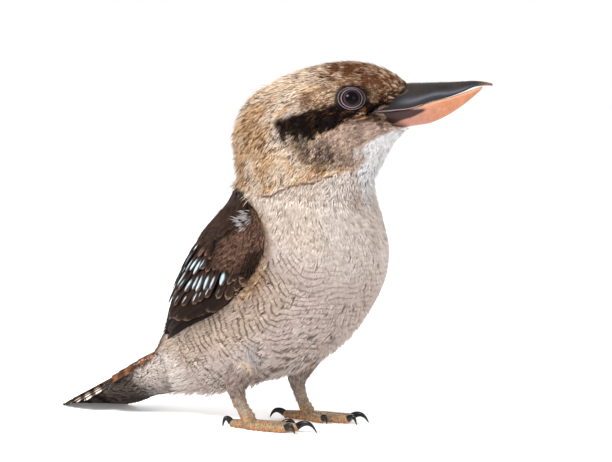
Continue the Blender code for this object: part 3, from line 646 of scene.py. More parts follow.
legs = {
    "right": ((-22, -27, 62, 15.0), (-29, -27, 50, 12.8), (-35, -27, 39, 10.0), (-37, -27, 30, 7.8),
              (-35.5, -27.2, 22.5, 5.6)),
    "left": ((0, 22, 64, 15.0), (-3, 21.5, 51, 13.0), (-7, 21, 40, 9.6), (-9.5, 20.5, 30, 6.8),
             (-7.5, 20, 21.5, 4.8)),
    # the sleeves of small feathers run on over the bare shin
    "cuff": {"right": ((-32.5, -27.6, 15.5, 5.4),), "left": ((-4.5, 20, 12.5, 5.0),)}}
tailPlan = {"root": (-118.0, 0.0, 47.0), "tip": (-212.0, -4.0, -6.6), "roll": 16.0, "pairs": 6,
            "graduation": 2.7, "radius": 31.0, "shift": 3.5, "half": 6.8, "spread": (1.2, 2.1, 2.2, 4.1),
            "core": ((2, 12.5, -2, 27), (17, 15.5, 1.8, 24.5), (28, 17.5, 2.4, 21.5), (37, 17, 3.0, 16.5),
                     (49, 13.5, 3.8, 10)),
            "veil": ((-24, 20, 4, 30), (-12, 21.5, 3, 31.5), (-2, 21, 1, 31), (8, 19.5, 0, 29),
                     (18, 17.5, 1, 25.6), (29, 17.8, 2, 24.5), (38, 17.4, 2.6, 22.6), (47, 15, 3.5, 19.5),
                     (56, 11, 4.5, 15.5))}


def coatDepth(station, angle):
    # thin on the face, thick on breast and belly
    u = np.asarray(station, float)
    return np.interp(u, (0, 2, 5, 8.5, 11, 12.5, 14, 18), (3.0, 3.5, 4.2, 4.0, 3.2, 2.2, 1.3, 0.5))


def pathPoint(rows):
    # a round tube along a path of x, y, z and radius; u counts the rows, v goes round
    def point(u, v):
        row = through(rows, u)
        ahead, behind = through(rows, np.asarray(u) + 0.03), through(rows, np.asarray(u) - 0.03)
        heading = unit(ahead[..., :3] - behind[..., :3])
        side = unit(np.cross(heading, [0.02, 1.0, 0.03]))
        other = np.cross(side, heading)
        angle = np.radians(v)[..., None]
        return row[..., :3] + row[..., 3:] * (np.cos(angle) * side + np.sin(angle) * other)
    return point


def tailFrame():
    root, tip = np.array(tailPlan["root"]), np.array(tailPlan["tip"])
    heading, roll = unit(tip - root), math.radians(tailPlan["roll"])
    level = unit(np.cross(heading, [0, 0, 1.0]))
    upright = np.cross(level, heading)
    side = level * math.cos(roll) - upright * math.sin(roll)
    above = upright * math.cos(roll) + level * math.sin(roll)
    return root, heading, side, above, np.linalg.norm(tip - root)


def corePoint(u, v, rows="core"):
    # the tail's root: ellipses along the tail, v from the top round to its left
    root, heading, side, above, _ = tailFrame()
    reach, half, top, bottom = np.moveaxis(through(tailPlan[rows], u), -1, 0)
    turn = np.radians(v)
    middle = root + heading * reach[..., None] - above * ((top + bottom) / 2)[..., None]
    return (middle + side * (half * np.sin(turn))[..., None]
            + above * ((bottom - top) / 2 * np.cos(turn))[..., None])


def bakePlace(kind, u, v):
    # where a place on the skin lies on its flat map: the body left, the tail root and legs right
    v = (np.asarray(v, float) + 180) % 360 / 360
    if kind == "body":
        return np.stack([0.01 + 0.70 * np.asarray(u) / 18, 0.01 + 0.97 * v], -1)
    if kind in ("core", "veil"):
        reach = through(tailPlan[kind], u)[..., 0]
        return np.stack([0.73 + 0.07 * (reach + 26) / 84, 0.01 + 0.97 * v], -1)
    start = 0.01 if kind == "left" else 0.51
    return np.stack([0.82 + 0.16 * np.asarray(u) / 5.3, start + 0.47 * v], -1)


def shinColour(u, v, where, chance, rim):
    colour = toward(flood(palette["shin"], u), palette["flank"], fall(u, 0.8, 1.8))
    dark = fade(ripple(where, 4.0, 8) + 0.6 * (chance - 0.5), 0.0, 0.6) * fade(u, 0.8, 1.8)
    colour = toward(colour, palette["shinDark"], dark * 0.75)
    return toward(colour, palette["breast"], fade(chance, 0.75, 0.9) * 0.5)


def coreColour(u, v, where, chance, rim):
    root, heading = tailFrame()[:2]
    dark = fade((where - root) @ heading + 9 * (chance - 0.5), 4, 24)
    return toward(flood(palette["vent"], u), palette["tailUnder"], dark * 0.92)


skinShade = 0.7   # painted shade: how much darker the skin is than its feathers, as a share of their colour, so the gaps in the coat look shaded


def skinShell(kind, rings, outer, paintIt, u, v, marks):
    points, faces = closedTube(rings)
    half = np.full(u.shape, 0.5)
    # the skin painted as a shaded copy of the coat's markings
    tint = paintIt(u, v, outer, half, half) * skinShade
    return (points, faces, *(withEnds(values[None])[0] for values in (tint, bakePlace(kind, u, v), marks)))


def skinShells():
    u, v = grid(np.linspace(0.0, 17.9, 190), np.linspace(-180, 180, 151)[:-1])
    outer = bodyPoint(u, v)
    rings = outer - normalOf(wholeBody, u, v) * coatDepth(u, v)[..., None]
    marks = np.stack(list(barMarks(u, v).values()), -1)
    shells = [skinShell("body", rings, outer, markings, u, v, marks)]
    parts = [("core", corePoint, coreColour, 2.6, 1.25)]
    parts += [(side, pathPoint(legs[side]), shinColour, 1.4, 4.0) for side in ("right", "left")]
    for kind, point, paintIt, depth, last in parts:
        u, v = grid(np.linspace(0, last, 34), np.linspace(-180, 180, 49)[:-1])
        outer = point(u, v)
        rings = outer - unit(outer - outer.mean(1, keepdims=True)) * depth
        shells.append(skinShell(kind, rings, outer, paintIt, u, v, np.zeros((*u.shape, 3))))
    return together(shells)


points, faces, tint, flat, marks = skinShells()
makePiece("skin", points, faces, down, ("torso", "neck", "head", "leg_left", "leg_right"), tint,
          {"OFBake": flat}, dict(zip(("phase", "barred", "ruff"), marks.T)))


# The coat: small feathers as groups of narrow closed blades that follow the lie


def roots(point, count, box, density, seed):
    # seeded places over a patch of a surface, as many as its area and the density ask
    draw = np.random.default_rng(seed)
    cells = 220
    u, v = np.linspace(box[0], box[1], cells + 1), np.linspace(box[2], box[3], cells + 1)
    midU, midV = grid((u[1:] + u[:-1]) / 2, (v[1:] + v[:-1]) / 2)
    alongU, alongV = slopes(point, midU, midV)
    area = np.linalg.norm(np.cross(alongU, alongV), axis=-1) * density(midU, midV)
    chosen = draw.choice(area.size, int(count * fewer), p=(area / area.sum()).ravel())
    return (midU.ravel()[chosen] + (u[1] - u[0]) * draw.uniform(-0.5, 0.5, len(chosen)),
            midV.ravel()[chosen] + (v[1] - v[0]) * draw.uniform(-0.5, 0.5, len(chosen)), draw)


def walk(point, u, v, length, heading, rows, sign):
    # steps along the surface from each root; heading turns the step away from the lie
    places, step = [(u, v)], length / (rows - 1)
    for _ in range(rows - 1):
        alongU, alongV = (np.linalg.norm(slope, axis=-1) for slope in slopes(point, u, v))
        u = u + sign * step * np.cos(heading) / np.maximum(alongU, 1.0)
        v = v + step * np.sin(heading) / np.maximum(alongV, 0.05)
        places.append((u, v))
    return (np.stack(column, 1) for column in zip(*places))


def repeated(one, count, size):
    # the faces of one form for count forms of size points each
    return (one[None] + (np.arange(count) * size)[:, None, None]).reshape(-1, 3)


def bladeFaces(count, rows):
    ring, corner = (x.ravel() for x in grid(np.arange(rows - 1), np.arange(3)))
    a, b, last = 3 * ring + corner, 3 * ring + (corner + 1) % 3, 3 * rows - 3
    one = np.concatenate([np.stack([a, b, b + 3], 1), np.stack([a, b + 3, a + 3], 1), [[0, 2, 1]],
                          [[last + k, last + (k + 1) % 3, 3 * rows] for k in range(3)]])
    return repeated(one, count, 3 * rows + 1)


def level(value):
    # the same value everywhere, for a plan's entries that are asked with places
    return lambda u, v: value + 0 * u


def grain(u, v):
    # noise drawn out along the lie, so that feathers side by side share a tone
    lie = lieAt(u, v)
    return ripple(np.stack([v * 0.5, lie * 0.3, 0 * lie], -1), 3.0, 77)


# what a coat piece has unless its own plan says otherwise; a plan gives the feathers, the box of
# stations and angles, the fan of each feather's blades, length, width, lift, stray and seed
usualPlan = {"blades": 3, "rows": 2, "density": level(1.0), "depth": coatDepth, "size": level(1.0),
             "lie": level(0.0), "rise": level(1.0), "loose": 0.0, "sink": 0.0, "sign": -1,
             "ends": (-0.9, 17.9), "contrast": 1.0, "tallest": 9.0, "bladeBake": (0.0026, 0.0012)}


def blades(name, point, kind, colour, plan, material, keep=None):
    plan = {**usualPlan, **plan}
    u, v, draw = roots(point, plan["feathers"], plan["box"], plan["density"], plan["seed"])
    each, rows = plan["blades"], plan["rows"]
    scale = plan["size"](u, v) * draw.uniform(0.8, 1.2, len(u))
    lean = np.radians(plan["lie"](u, v) + draw.normal(0, plan["stray"], len(u)))
    chance = draw.uniform(0, 1, len(u))
    if kind == "body":
        chance = np.clip(0.5 + 0.36 * grain(u, v) + 0.44 * (chance - 0.5), 0, 1)
    place = np.linspace(-1, 1, each)
    rootU, rootV, scale, chance, lean = (np.repeat(x, each) for x in (u, v, scale, chance, lean))
    spread = np.tile(place, len(u)) + draw.normal(0, 0.15, len(rootU))
    heading = lean + np.radians(plan["fan"]) * spread
    length = plan["length"] * scale * (1 - 0.22 * spread**2) * draw.uniform(0.85, 1.15, len(rootU))
    chance = np.clip(chance + draw.normal(0, 0.05, len(rootU)), 0, 1)
    rim = np.clip(np.abs(spread), 0, 1)
    placesU, placesV = walk(point, rootU, rootV, length, heading, rows + 1, plan["sign"])
    first, last = plan["ends"]
    stays = (placesU.min(1) > first) & (placesU.max(1) < last)
    if keep is not None:
        stays &= keep(placesU, placesV, point)
    placesU, placesV, scale, chance, rim = (x[stays] for x in (placesU, placesV, scale, chance, rim))
    count = len(placesU)
    # the spine rises from the skin to its lift over the surface
    share = np.linspace(0, 1, rows + 1)
    surface, out = point(placesU, placesV), normalOf(point, placesU, placesV)
    depth = plan["depth"](placesU[:, :1], placesV[:, :1]) + 0.5
    loose = draw.uniform(0.2, 1.4, count) + plan["loose"] * draw.exponential(1.0, count)
    lift = plan["lift"] * plan["rise"](placesU[:, 0], placesV[:, 0]) * loose * scale
    height = -depth + (depth - plan["sink"] + np.minimum(lift, plan["tallest"])[:, None]) * share**0.75
    spine = surface + out * height[..., None]
    side = unit(np.cross(unit(np.gradient(spine, axis=1)), out))
    twist = draw.normal(0, 0.35, count)[:, None, None]
    side, out = side * np.cos(twist) + out * np.sin(twist), out * np.cos(twist) - side * np.sin(twist)
    taper = np.interp(share, (0, 0.35, 0.75, 1), (0.5, 1.0, 0.8, 0))
    half = ((plan["width"] * scale / 2)[:, None] * taper)[..., None]
    rings = np.stack([spine - side * half, spine + out * half * 0.4, spine + side * half], 2)[:, :-1]
    points = np.concatenate([rings.reshape(count, -1, 3), spine[:, -1:]], 1)

    def perPoint(values):
        return np.concatenate([np.repeat(values[:, :-1], 3, axis=1), values[:, -1:]], 1)

    everyRow, hard = np.ones((1, rows + 1)), plan["contrast"]
    tints = colour(placesU, placesV, surface, chance[:, None] * everyRow, rim[:, None] * everyRow)
    # painted shade: each blade darker towards its root, where it lies in the coat's shade
    tints = tints * (1 - hard * (0.38 - 0.42 * share[None, :, None]))
    tints = tints * (1 + 0.14 * hard * draw.uniform(-1, 1, count))[:, None, None]
    marks = None
    if kind == "body" and material is down:
        marks = {key: perPoint(values) for key, values in barMarks(placesU, placesV).items()}
    # each blade's own small patch on the skin's flat map
    long, wide = plan["bladeBake"]
    onward, across = np.append(np.repeat(share[:-1], 3), 1), np.append(np.tile([-1, 0, 1], rows), 0)
    patch = np.stack([onward * long, across * wide], -1)
    flat = bakePlace(kind, placesU[:, 0], placesV[:, 0])[:, None, :] + patch[None]
    makePiece(name, points, bladeFaces(count, rows), material, (), perPoint(tints), {"OFBake": flat},
              marks)


def underWing(u, a):
    back, side = wingEdges(u)
    return (u > 2.1) & (u < 8.0) & (a > back + 5) & (a < side - 5)


def behindFace(u, v):
    # how far a place lies behind the line where the face's feathers end
    p = straightBody(u, v)
    return edgeX(p[..., 2]) - p[..., 0]


def clearOfEyes(placesU, placesV, point):
    return eyeGap(point(placesU, placesV)).min(axis=1) > 1.0


def headSize(u, v):
    # feathers shorten towards the bill and round the eye
    front, near = np.clip(behindFace(u, v) / 16, 0, 1), eyeGap(bodyPoint(u, v))
    return np.clip(0.68 + 0.4 * front, 0.68, 1) * np.clip(0.5 + 0.45 * (near - 1), 0.5, 1)


def bodyDensity(u, v):
    # none under the wing or past the face's edge, few between the wings
    a = np.abs(v)
    d = np.where(underWing(u, a) | (u > 12) & (behindFace(u, v) <= 0.4), 0.0, 1.0)
    return d * np.where((u > 5.0) & (u < 8.0) & (a < 40), 0.15, 1.0)


def headDensity(u, v):
    return bodyDensity(u, v) * (1 + 1.3 * fade(u, 13, 15))


def atEdge(u, v):
    # a narrow band behind the line where the face's feathers end
    return 1.0 * (np.abs(behindFace(u, v) - 1.7) < 1.7)


def overBill(station, angle):
    # the body's point, but straight on past the face's edge, close along the bill's sides
    return bodyPoint(station, angle, False)


def bellyLie(u, v):
    # the belly's feathers part at the middle and run back towards the legs
    a = np.abs(v)
    return -np.sign(v) * 26 * fade(a, 120, 150) * fall(a, 168, 180) * fall(u, 7, 8.5)


def headLie(u, v):
    a = np.abs(v)
    return np.sign(v) * (6 * fade(u, 13, 15) * fall(a, 95, 120) - 10 * fade(a, 100, 130) * fade(u, 11, 13))


def neckRise(u, v):
    # the ruff's lowest feathers and the nape's stand off
    a = np.abs(v)
    above = u - np.interp(a, ruff["angle"], ruff["station"])
    lowest = fall(above, 0.3, 0.7) * fade(above, -0.1, 0.05) * fall(a, 118, 134)
    return 1 + 1.4 * lowest + 0.5 * fall(a, 20, 70)


def bellyRise(u, v):
    # loose feathers along the belly's lowest line
    return 1 + 3.0 * fade(np.abs(v), 146, 166) * fall(u, 4.6, 6.0)


def besideWing(gap, width):
    # a density that is 1 in a band below the wing's edge
    return lambda u, v: 1.0 * (np.abs(np.abs(v) - wingEdges(u)[1] - gap) < width)


def whitish(least):
    # pale feathers, each of its own brightness
    return lambda u, v, where, chance, rim: flood(palette["patch"], u) * (least + 0.3 * chance[..., None])


sides = (("right", -1), ("left", 1))


def half(sign, first, last, low, high):
    # a box of stations and angles on one side
    return (first, last, *sorted((sign * low, sign * high)))


for side, sign in sides:
    headPlans = {
        "coat_crown_": dict(
            feathers=2600, box=half(sign, 12.2, 17.6, 0, 62), density=headDensity, fan=6, length=9.0,
            width=0.8, lift=0.8, loose=0.5, stray=7, seed=11 + sign, size=headSize, lie=headLie, sink=0.5),
        "coat_face_": dict(
            feathers=4300, box=half(sign, 11.4, 17.4, 58, 180), density=headDensity, fan=8, length=6.4,
            width=0.75, lift=0.5, loose=0.35, stray=11, seed=14 + sign, size=headSize, lie=headLie),
        "coat_bristle_": dict(
            feathers=900, box=half(sign, 14.4, 17.7, 0, 180), density=atEdge, fan=16, length=2.8, width=0.34,
            lift=0.35, loose=0.3, stray=14, seed=36 + sign, sign=1, sink=0.3),
        "coat_face_chin_": dict(
            feathers=650, box=half(sign, 13.4, 16.6, 98, 146), density=headDensity, fan=10, length=5.2,
            width=0.75, lift=0.7, loose=0.4, stray=12, seed=44 + sign, lie=headLie)}
    plans = {
        "coat_neck_": dict(
            feathers=3650, box=half(sign, 8.3, 12.6, 0, 180), density=bodyDensity, fan=12, length=8.5,
            width=0.85, lift=0.9, loose=0.6, stray=14, seed=17 + sign, rise=neckRise, sink=1.4),
        "coat_breast_": dict(
            feathers=2200, box=half(sign, 5.9, 8.8, 0, 180), density=bodyDensity, blades=4, fan=13,
            length=10.0, width=1.15, lift=0.5, loose=0.15, stray=10, seed=20 + sign, lie=bellyLie,
            contrast=0.45),
        "coat_belly_": dict(
            feathers=2200, box=half(sign, 3.2, 6.2, 0, 180), density=bodyDensity, blades=4, fan=13,
            length=10.5, width=1.15, lift=0.5, loose=0.25, stray=10, seed=23 + sign, lie=bellyLie,
            rise=bellyRise, contrast=0.6),
        "coat_flank_": dict(
            feathers=240, box=half(sign, 4.7, 6.1, 60, 92), density=besideWing(3.0, 3.5), blades=5, fan=20,
            length=11.0, width=0.9, lift=4.6, stray=16, seed=26 + sign, contrast=0.7,
            lie=lambda u, v, sign=sign: -sign * 24 * fade(u, 4.7, 5.2) * fall(u, 5.4, 6.4)),
        "coat_fringe_": dict(
            feathers=200, box=half(sign, 5.6, 6.7, 66, 92), density=besideWing(2.5, 3.0), blades=5, fan=22,
            length=8.0, width=0.8, lift=3.6, stray=18, seed=47 + sign, lie=level(-sign * 48.0),
            contrast=0.35)}
    for name, plan in headPlans.items():
        point = overBill if name == "coat_bristle_" else bodyPoint
        blades(name + side, point, "body", markings, plan, crownDown, clearOfEyes)
    for name, plan in plans.items():
        blades(name + side, bodyPoint, "body", markings, plan, down)
blades("coat_rump", bodyPoint, "body", markings, dict(
    feathers=2300, box=(-0.3, 3.4, -180, 180), density=bodyDensity, fan=14, length=13.0, width=1.3, lift=0.8,
    loose=0.35, stray=11, seed=18, contrast=0.7, rise=bellyRise), down)

for side, sign in sides:
    blades("coat_thigh_" + side, pathPoint(legs[side] + legs["cuff"][side]), side, shinColour, dict(
        feathers=1700, box=(0.8, 4.6, -180, 180), blades=2, fan=10, length=8.0, width=0.9, lift=0.7,
        loose=0.35, stray=12, seed=30 + sign, sign=1, ends=(-0.9, 5.1), depth=level(1.4),
        size=lambda u, v: 1.3 - 0.2 * u), down)
    # long pale wisps from the flank over the thigh
    blades("coat_wisps_" + side, bodyPoint, "body", whitish(0.6), dict(
        feathers=14, box=half(sign, 3.75, 4.2, 108, 120), fan=6, length=25.0, width=0.7, lift=1.6, loose=0.2,
        stray=7, seed=33 + sign, rows=5, lie=level(sign * 50.0)), crownDown)
    # white tufts between the neck and the wing's top
    for number, place in enumerate(((7.25, 7.5, 62, 67), (6.75, 6.95, 60, 65))):
        blades("coat_tufts_%s_%d" % (side, number + 1), bodyPoint, "body", whitish(0.5), dict(
            feathers=18, box=half(sign, *place), blades=6, fan=32, length=8.0, width=0.7, lift=6.5, stray=18,
            seed=52 + number, rows=3, lie=level(-sign * 26.0)), crownDown)
blades("coat_nape_tufts", bodyPoint, "body", markings, dict(
    feathers=30, box=(10.7, 13.2, -34, 34), blades=4, fan=9, length=13.0, width=0.6, lift=2.0, loose=0.5,
    stray=9, seed=39, rows=3), crownDown)
blades("coat_vent", lambda u, v: corePoint(u, v, "veil"), "veil", coreColour, dict(
    feathers=2400, box=(0.0, 6.7, 64, 296), fan=12, length=14.0, width=0.95, lift=0.7, loose=0.35, stray=11,
    seed=22, sign=1, ends=(-0.9, 7.98), depth=level(2.6), contrast=0.32), down)
print("coat made")


# Broad vanes for wings and tail

vaneAcross = np.array([-1, -0.86, -0.55, -0.22, 0, 0.22, 0.55, 0.86, 1.0])


def vaneFaces(count, rows, sides):
    return repeated(tubeFaces(rows, sides), count, rows * sides + 2)


def vaneShapes(spine, out, width, tipRound=0.22, rootShare=0.4, camber=0.12, tilt=0.0, thick=0.34,
               ragged=0.06, seed=5):
    # spine and out: feathers x rows x 3; a web on each side of a raised shaft, closed below
    draw = np.random.default_rng(seed)
    count, rows = spine.shape[:2]
    share = np.linspace(0, 1, rows) ** 0.85
    heading = unit(np.gradient(spine, axis=1))
    out = unit(out)
    side = unit(np.cross(heading, out))
    lean = np.radians(tilt)
    side, out = side * math.cos(lean) + out * math.sin(lean), out * math.cos(lean) - side * math.sin(lean)
    fuller = rootShare + (1 - rootShare) * fade(share, 0.0, 0.45)
    tip = np.sqrt(np.clip(1 - (np.clip(share - (1 - tipRound), 0, 1) / tipRound) ** 2, 0.004, 1))
    half = np.asarray(width)[:, None] * (fuller * tip)[None]
    notch = 1 - ragged * np.abs(draw.normal(0, 1, (count, rows, 2))) * fade(share, 0.3, 0.6)[None, :, None]
    x = vaneAcross[None, None, :]
    stretch = np.where(x < 0, notch[..., :1], notch[..., 1:]) * half[..., None]
    rise = camber * (1 - x**2) * half[..., None] + 0.16 * bell(x / 0.1)
    wall = (thick * (1 - 0.6 * np.abs(x)) + 0.12 * bell(x / 0.1)) * (1 - 0.5 * share)[None, :, None]
    upper = (spine[:, :, None] + side[:, :, None] * (x * stretch)[..., None]
             + out[:, :, None] * rise[..., None])
    lower = upper - out[:, :, None] * wall[..., None]
    ring = np.concatenate([upper, lower[:, :, ::-1]], 2)
    ends = ring[:, [0, -1]].mean(2)
    points = np.concatenate([ring.reshape(count, -1, 3), ends], 1)
    across = np.broadcast_to(np.concatenate([vaneAcross, vaneAcross[::-1]]), ring.shape[:3])
    along = np.broadcast_to(share[None, :, None], across.shape)
    face = np.broadcast_to(np.repeat([1.0, 0.0], len(vaneAcross)), across.shape)
    return points, across, along, face


def vanePiece(name, groups, material, replaces, extra=()):
    # groups: points, across, along, length in mm, tint for every tier of feathers; on the flat map
    # each feather has a cell, its upper face on the left and its lower one on the right
    total = sum(len(group[0]) for group in groups)
    columns = math.ceil(math.sqrt(total * 2))
    lines = math.ceil(total / columns)
    shells, done = [], 0
    for points, across, along, length, tint in groups:
        count, rows, around = across.shape
        number = done + np.arange(count)
        cellX, cellY = (number % columns)[:, None], (number // columns)[:, None]
        x, y = (withEnds(across) + 1) / 2, withEnds(along)
        under = np.append(np.tile(np.repeat([0.0, 0.5], len(vaneAcross)), rows), [0, 0])
        flat = np.stack([(cellX + 0.04 + 0.44 * x + under) / columns, (cellY + 0.05 + 0.9 * y) / lines], -1)
        web = np.stack([x, y * np.asarray(length)[:, None] / 100], -1)
        shells.append((points.reshape(-1, 3), vaneFaces(count, rows, around), withEnds(tint).reshape(-1, 3),
                       flat.reshape(-1, 2), web.reshape(-1, 2)))
        done += count
    points, faces, tint, flat, web = together([*shells, *extra])
    makePiece(name, points, faces, material, replaces, tint, {"OFBake": flat, "web": web})


def spineLength(spine):
    return np.linalg.norm(np.diff(spine, axis=1), axis=-1).sum(1)


# The wings

wing = {
    "bulge": ((0.2,), (1.6,), (3.8,), (5.2,), (5.6,), (5.4,), (3.4,)), "least": 1.4,
    # for the tiers with blue spots, where along the tier they begin and how large they are
    "spots": {"spotted": (0.42, 1.0), "median": (0.12, 1.0), "greater": (0.30, 0.42)},
    "back": ((8.05, 50), (7.5, 28), (6.4, 14), (5.0, 8), (3.7, 12), (2.6, 34), (1.9, 64)),
    "side": ((7.8, 60), (7.2, 72), (6.2, 79), (5.2, 82), (4.1, 81), (3.0, 79), (2.0, 68)),
    # each tier: feathers, rows of root and tip places from the wing's front to its back,
    # half width, lift of root and tip, tilt, look
    "tiers": (
        (7, ((5.2, 86, 2.05, 76.5), (5.3, 83, 2.2, 73), (5.5, 79, 2.4, 69)), 3.2, (-1.4, 0.2), 9, "primary"),
        (13, ((5.0, 81, 3.85, 80), (4.8, 79, 3.45, 77), (4.3, 73, 2.95, 71), (3.85, 58, 2.6, 60),
              (3.7, 36, 2.6, 46), (4.0, 18, 2.9, 34)), 4.3, (-1.2, 0.4), 8, "secondary"),
        (13, ((5.75, 80, 5.05, 84), (5.5, 79, 4.8, 83), (5.1, 72, 4.35, 79), (4.7, 64, 3.95, 73),
              (4.3, 59, 3.5, 69), (3.9, 53, 3.05, 62), (3.8, 38, 2.9, 48), (4.1, 18, 3.1, 30)),
         4.0, (-1.2, 1.0), 8, "greater"),
        (14, ((5.85, 78, 5.1, 81), (5.4, 70, 4.65, 76), (5.0, 62, 4.25, 70), (4.65, 54, 3.85, 62),
              (4.3, 50, 3.4, 56), (4.2, 34, 3.3, 40), (4.4, 16, 3.5, 22)), 3.5, (-1.2, 1.5), 8, "median"),
        (13, ((6.05, 73, 5.3, 76), (5.75, 65, 4.95, 69), (5.3, 54, 4.55, 60), (5.05, 49, 4.3, 54),
              (4.7, 44, 4.0, 49), (4.7, 30, 3.8, 36), (4.8, 14, 3.9, 18)), 3.2, (-1.2, 1.8), 8, "spotted"),
        (11, ((6.6, 73, 5.8, 77), (6.2, 64, 5.4, 68), (5.8, 54, 5.0, 58), (5.4, 42, 4.6, 48),
              (5.3, 24, 4.5, 28)), 3.6, (-1.2, 1.9), 8, "lesser"),
        (10, ((7.25, 68, 6.35, 74), (6.8, 62, 5.9, 66), (6.3, 50, 5.5, 54), (6.0, 36, 5.1, 40)),
         3.8, (-1.4, 1.9), 8, "lesser"),
        (8, ((7.7, 60, 6.85, 61), (7.3, 54, 6.1, 55), (6.9, 46, 5.45, 48), (6.5, 34, 5.05, 40),
             (6.2, 18, 4.7, 22)), 5.4, (0.2, 2.6), 4, "scapular"),
        (7, ((8.0, 56, 7.2, 58), (7.8, 48, 6.6, 50), (7.4, 36, 6.0, 38), (7.0, 20, 5.6, 22)),
         5.6, (0.4, 2.9), 4, "scapular"),
        (5, ((8.15, 50, 7.5, 52), (8.1, 40, 7.0, 42), (7.8, 24, 6.4, 26)), 5.2, (0.4, 3.1), 4, "scapular"))}
brown = tones(
    dark=(20, 13, 10), web=(50, 34, 27), edge=(126, 98, 80), blue=(174, 196, 205), cream=(158, 130, 108),
    black=(10, 7, 7), mantle=(38, 26, 21), under=(60, 52, 48), covert=(102, 76, 63), scapular=(76, 57, 48))


def wingHeight(station):
    share = np.clip((8.0 - station) / 6.3, 0, 1)
    return through(wing["bulge"], share * (len(wing["bulge"]) - 1))[..., 0]


def wingTint(look, x, y, face, order, chance):
    # brown webs, darker by the shaft, with the pale edge, tip or blue spot of each tier
    rim, tip = fade(np.abs(x), 0.72, 0.97), fade(y + 0.10 * x**2, 0.90, 0.99)
    chance = chance[:, None, None]
    colour = flood(brown["mantle" if look == "scapular" else "web"], x) * (0.70 + 0.5 * chance[..., None])

    def over(name, weight):
        nonlocal colour
        colour = toward(colour, brown[name], weight)

    over("dark", fall(np.abs(x), 0.0, 0.3) * 0.6)
    if look in wing["spots"]:
        first, share = wing["spots"][look]
        spotted = (fade(order, first, first + 0.06) * fall(order, 0.84, 0.9))[:, None, None]
        size = (0.58 + 0.8 * chance) * share
        over("dark", 0.35 + 0 * x)
        over("blue", blot((x + 0.28) / (0.46 * size), (y - 0.78) / (0.25 * size), 0.7, 1.2) * spotted
             * (0.5 + 0.42 * chance))
        over("cream", np.maximum(rim * fade(y, 0.7, 0.95) * 0.25, tip * 0.4) * (0.5 + 0.5 * (1 - spotted)))
    elif look == "secondary":
        over("dark", 0.8 + 0 * x)
        over("cream", np.maximum(tip * 0.22, rim * 0.03))
    elif look == "primary":
        over("black", 0.8 + 0 * x)
        over("edge", tip * 0.12)
    elif look == "lesser":
        over("covert", 0.5 + 0 * x)
        over("edge", np.maximum(tip * 0.45, rim * fade(y, 0.5, 0.9) * 0.25))
    else:
        over("edge", np.maximum(tip * 0.10, rim * 0.05))
    return toward(colour, brown["under"], (1 - face) * 0.4)


def wingShell(side):
    # the folded arm under the feathers, a shell on the body, painted black as the shade beneath them
    share, across = grid(np.linspace(0, 1, 40), np.linspace(0, 1, 20))
    back, front, bulge = (through(wing[rows], share * 6) for rows in ("back", "side", "bulge"))
    u, v = np.moveaxis(back + (front - back) * (0.04 + 0.92 * across[..., None]), -1, 0)
    v = v * side
    surface, out = bodyPoint(u, v), normalOf(bodyPoint, u, v)
    height = 0.6 + bulge[..., 0] * (1 - np.abs(2 * across - 1) ** 3) * 0.85
    rings = np.concatenate([surface + out * height[..., None], (surface + out * 0.2)[:, ::-1]], 1)
    points, faces = closedTube(rings)
    unmapped = np.zeros((len(points), 2))
    # painted shade: the shell is near black so the gaps between the feathers look shaded
    return points, faces, flood(brown["black"], points[:, 0]), unmapped, unmapped


def flatter(v):
    # how much the wing's feathers stand off, less towards the back's middle
    return np.interp(np.abs(v), (10, 50), (0.25, 1.0))


def wingTier(side, number, tier):
    # feathers at equal shares along the tier, each from its root to its tip on the body's surface
    count, rows, width, lift, tilt, look = tier
    draw = np.random.default_rng(60 + number)
    order = np.clip(np.linspace(0, 1, count) + draw.normal(0, 0.16 / count, count), 0, 1)
    place = through(rows, order * (len(rows) - 1))
    along = np.linspace(0, 1, 14)[None, :] ** 0.85
    start, end = place[:, None, :2], place[:, None, 2:] + draw.normal(0, 1, (count, 1, 2)) * (0.05, 0.9)
    u, v = np.moveaxis(start + (end - start) * along[..., None], -1, 0)
    v = v * side
    out = normalOf(bodyPoint, u, v)
    lifted = lift[0] + (lift[1] - lift[0]) * along + draw.normal(0, 0.15, (count, 1))
    height = np.maximum(wingHeight(u) + lifted * flatter(v), wing["least"] + 0.22 * number * along)
    spine = bodyPoint(u, v) + out * height[..., None]
    widths = width * draw.uniform(0.9, 1.12, count)
    points, x, y, face = vaneShapes(spine, out, widths, tilt=tilt * side, seed=70 + number,
                                    tipRound=0.34 if look in ("primary", "median", "spotted") else 0.28)
    tint = wingTint(look, x * side, y, face, order, draw.uniform(0, 1, count))
    return points, x, y, spineLength(spine), tint


scapularEdge = (4.9, 5.45, 6.1, 6.9, 7.5), (56, 49, 55, 60, 62)


def underScapular(u, v):
    # how far a place lies to the side of the shoulder's top feathers
    return np.abs(v) - np.interp(u, *scapularEdge)


def scapular(u, v):
    # 1 over the feathers of the shoulder's top, 0 over the coverts below them
    return fall(underScapular(u, v), -4, 0)


def fuzzPoint(u, v):
    # the outer face of the wing's shell, where small coverts grow
    above = 1.2 + 1.1 * scapular(u, v) * fade(u, 4.9, 6.4)
    height = wingHeight(u) + above * flatter(v)
    return bodyPoint(u, v) + normalOf(bodyPoint, u, v) * height[..., None]


def covertColour(u, v, where, chance, rim):
    # brown, with paler sides, a painted black shadow line under the edge of the shoulder's top feathers, and
    # black below the wing's bend
    colour = flood(brown["covert"], u) * np.clip(0.05 + 0.9 * chance + 0.9 * rim, 0.15, 2.0)[..., None]
    colour = toward(colour, brown["dark"], fall(rim, 0.1, 0.5) * 0.45)
    colour = toward(colour, brown["edge"], fade(chance, 0.66, 0.85) * fade(rim, 0.3, 0.8) * 0.85)
    colour = toward(colour, brown["scapular"] * (0.6 + 0.6 * chance)[..., None], scapular(u, v))
    # painted shadow: a black line under the edge of the shoulder's top feathers
    colour = toward(colour, brown["black"], bell(underScapular(u, v) / 3.4) * 0.96)
    return toward(colour, brown["black"], fade(np.abs(v), 72, 80) * fall(u, 5.9, 6.3) * 0.8)


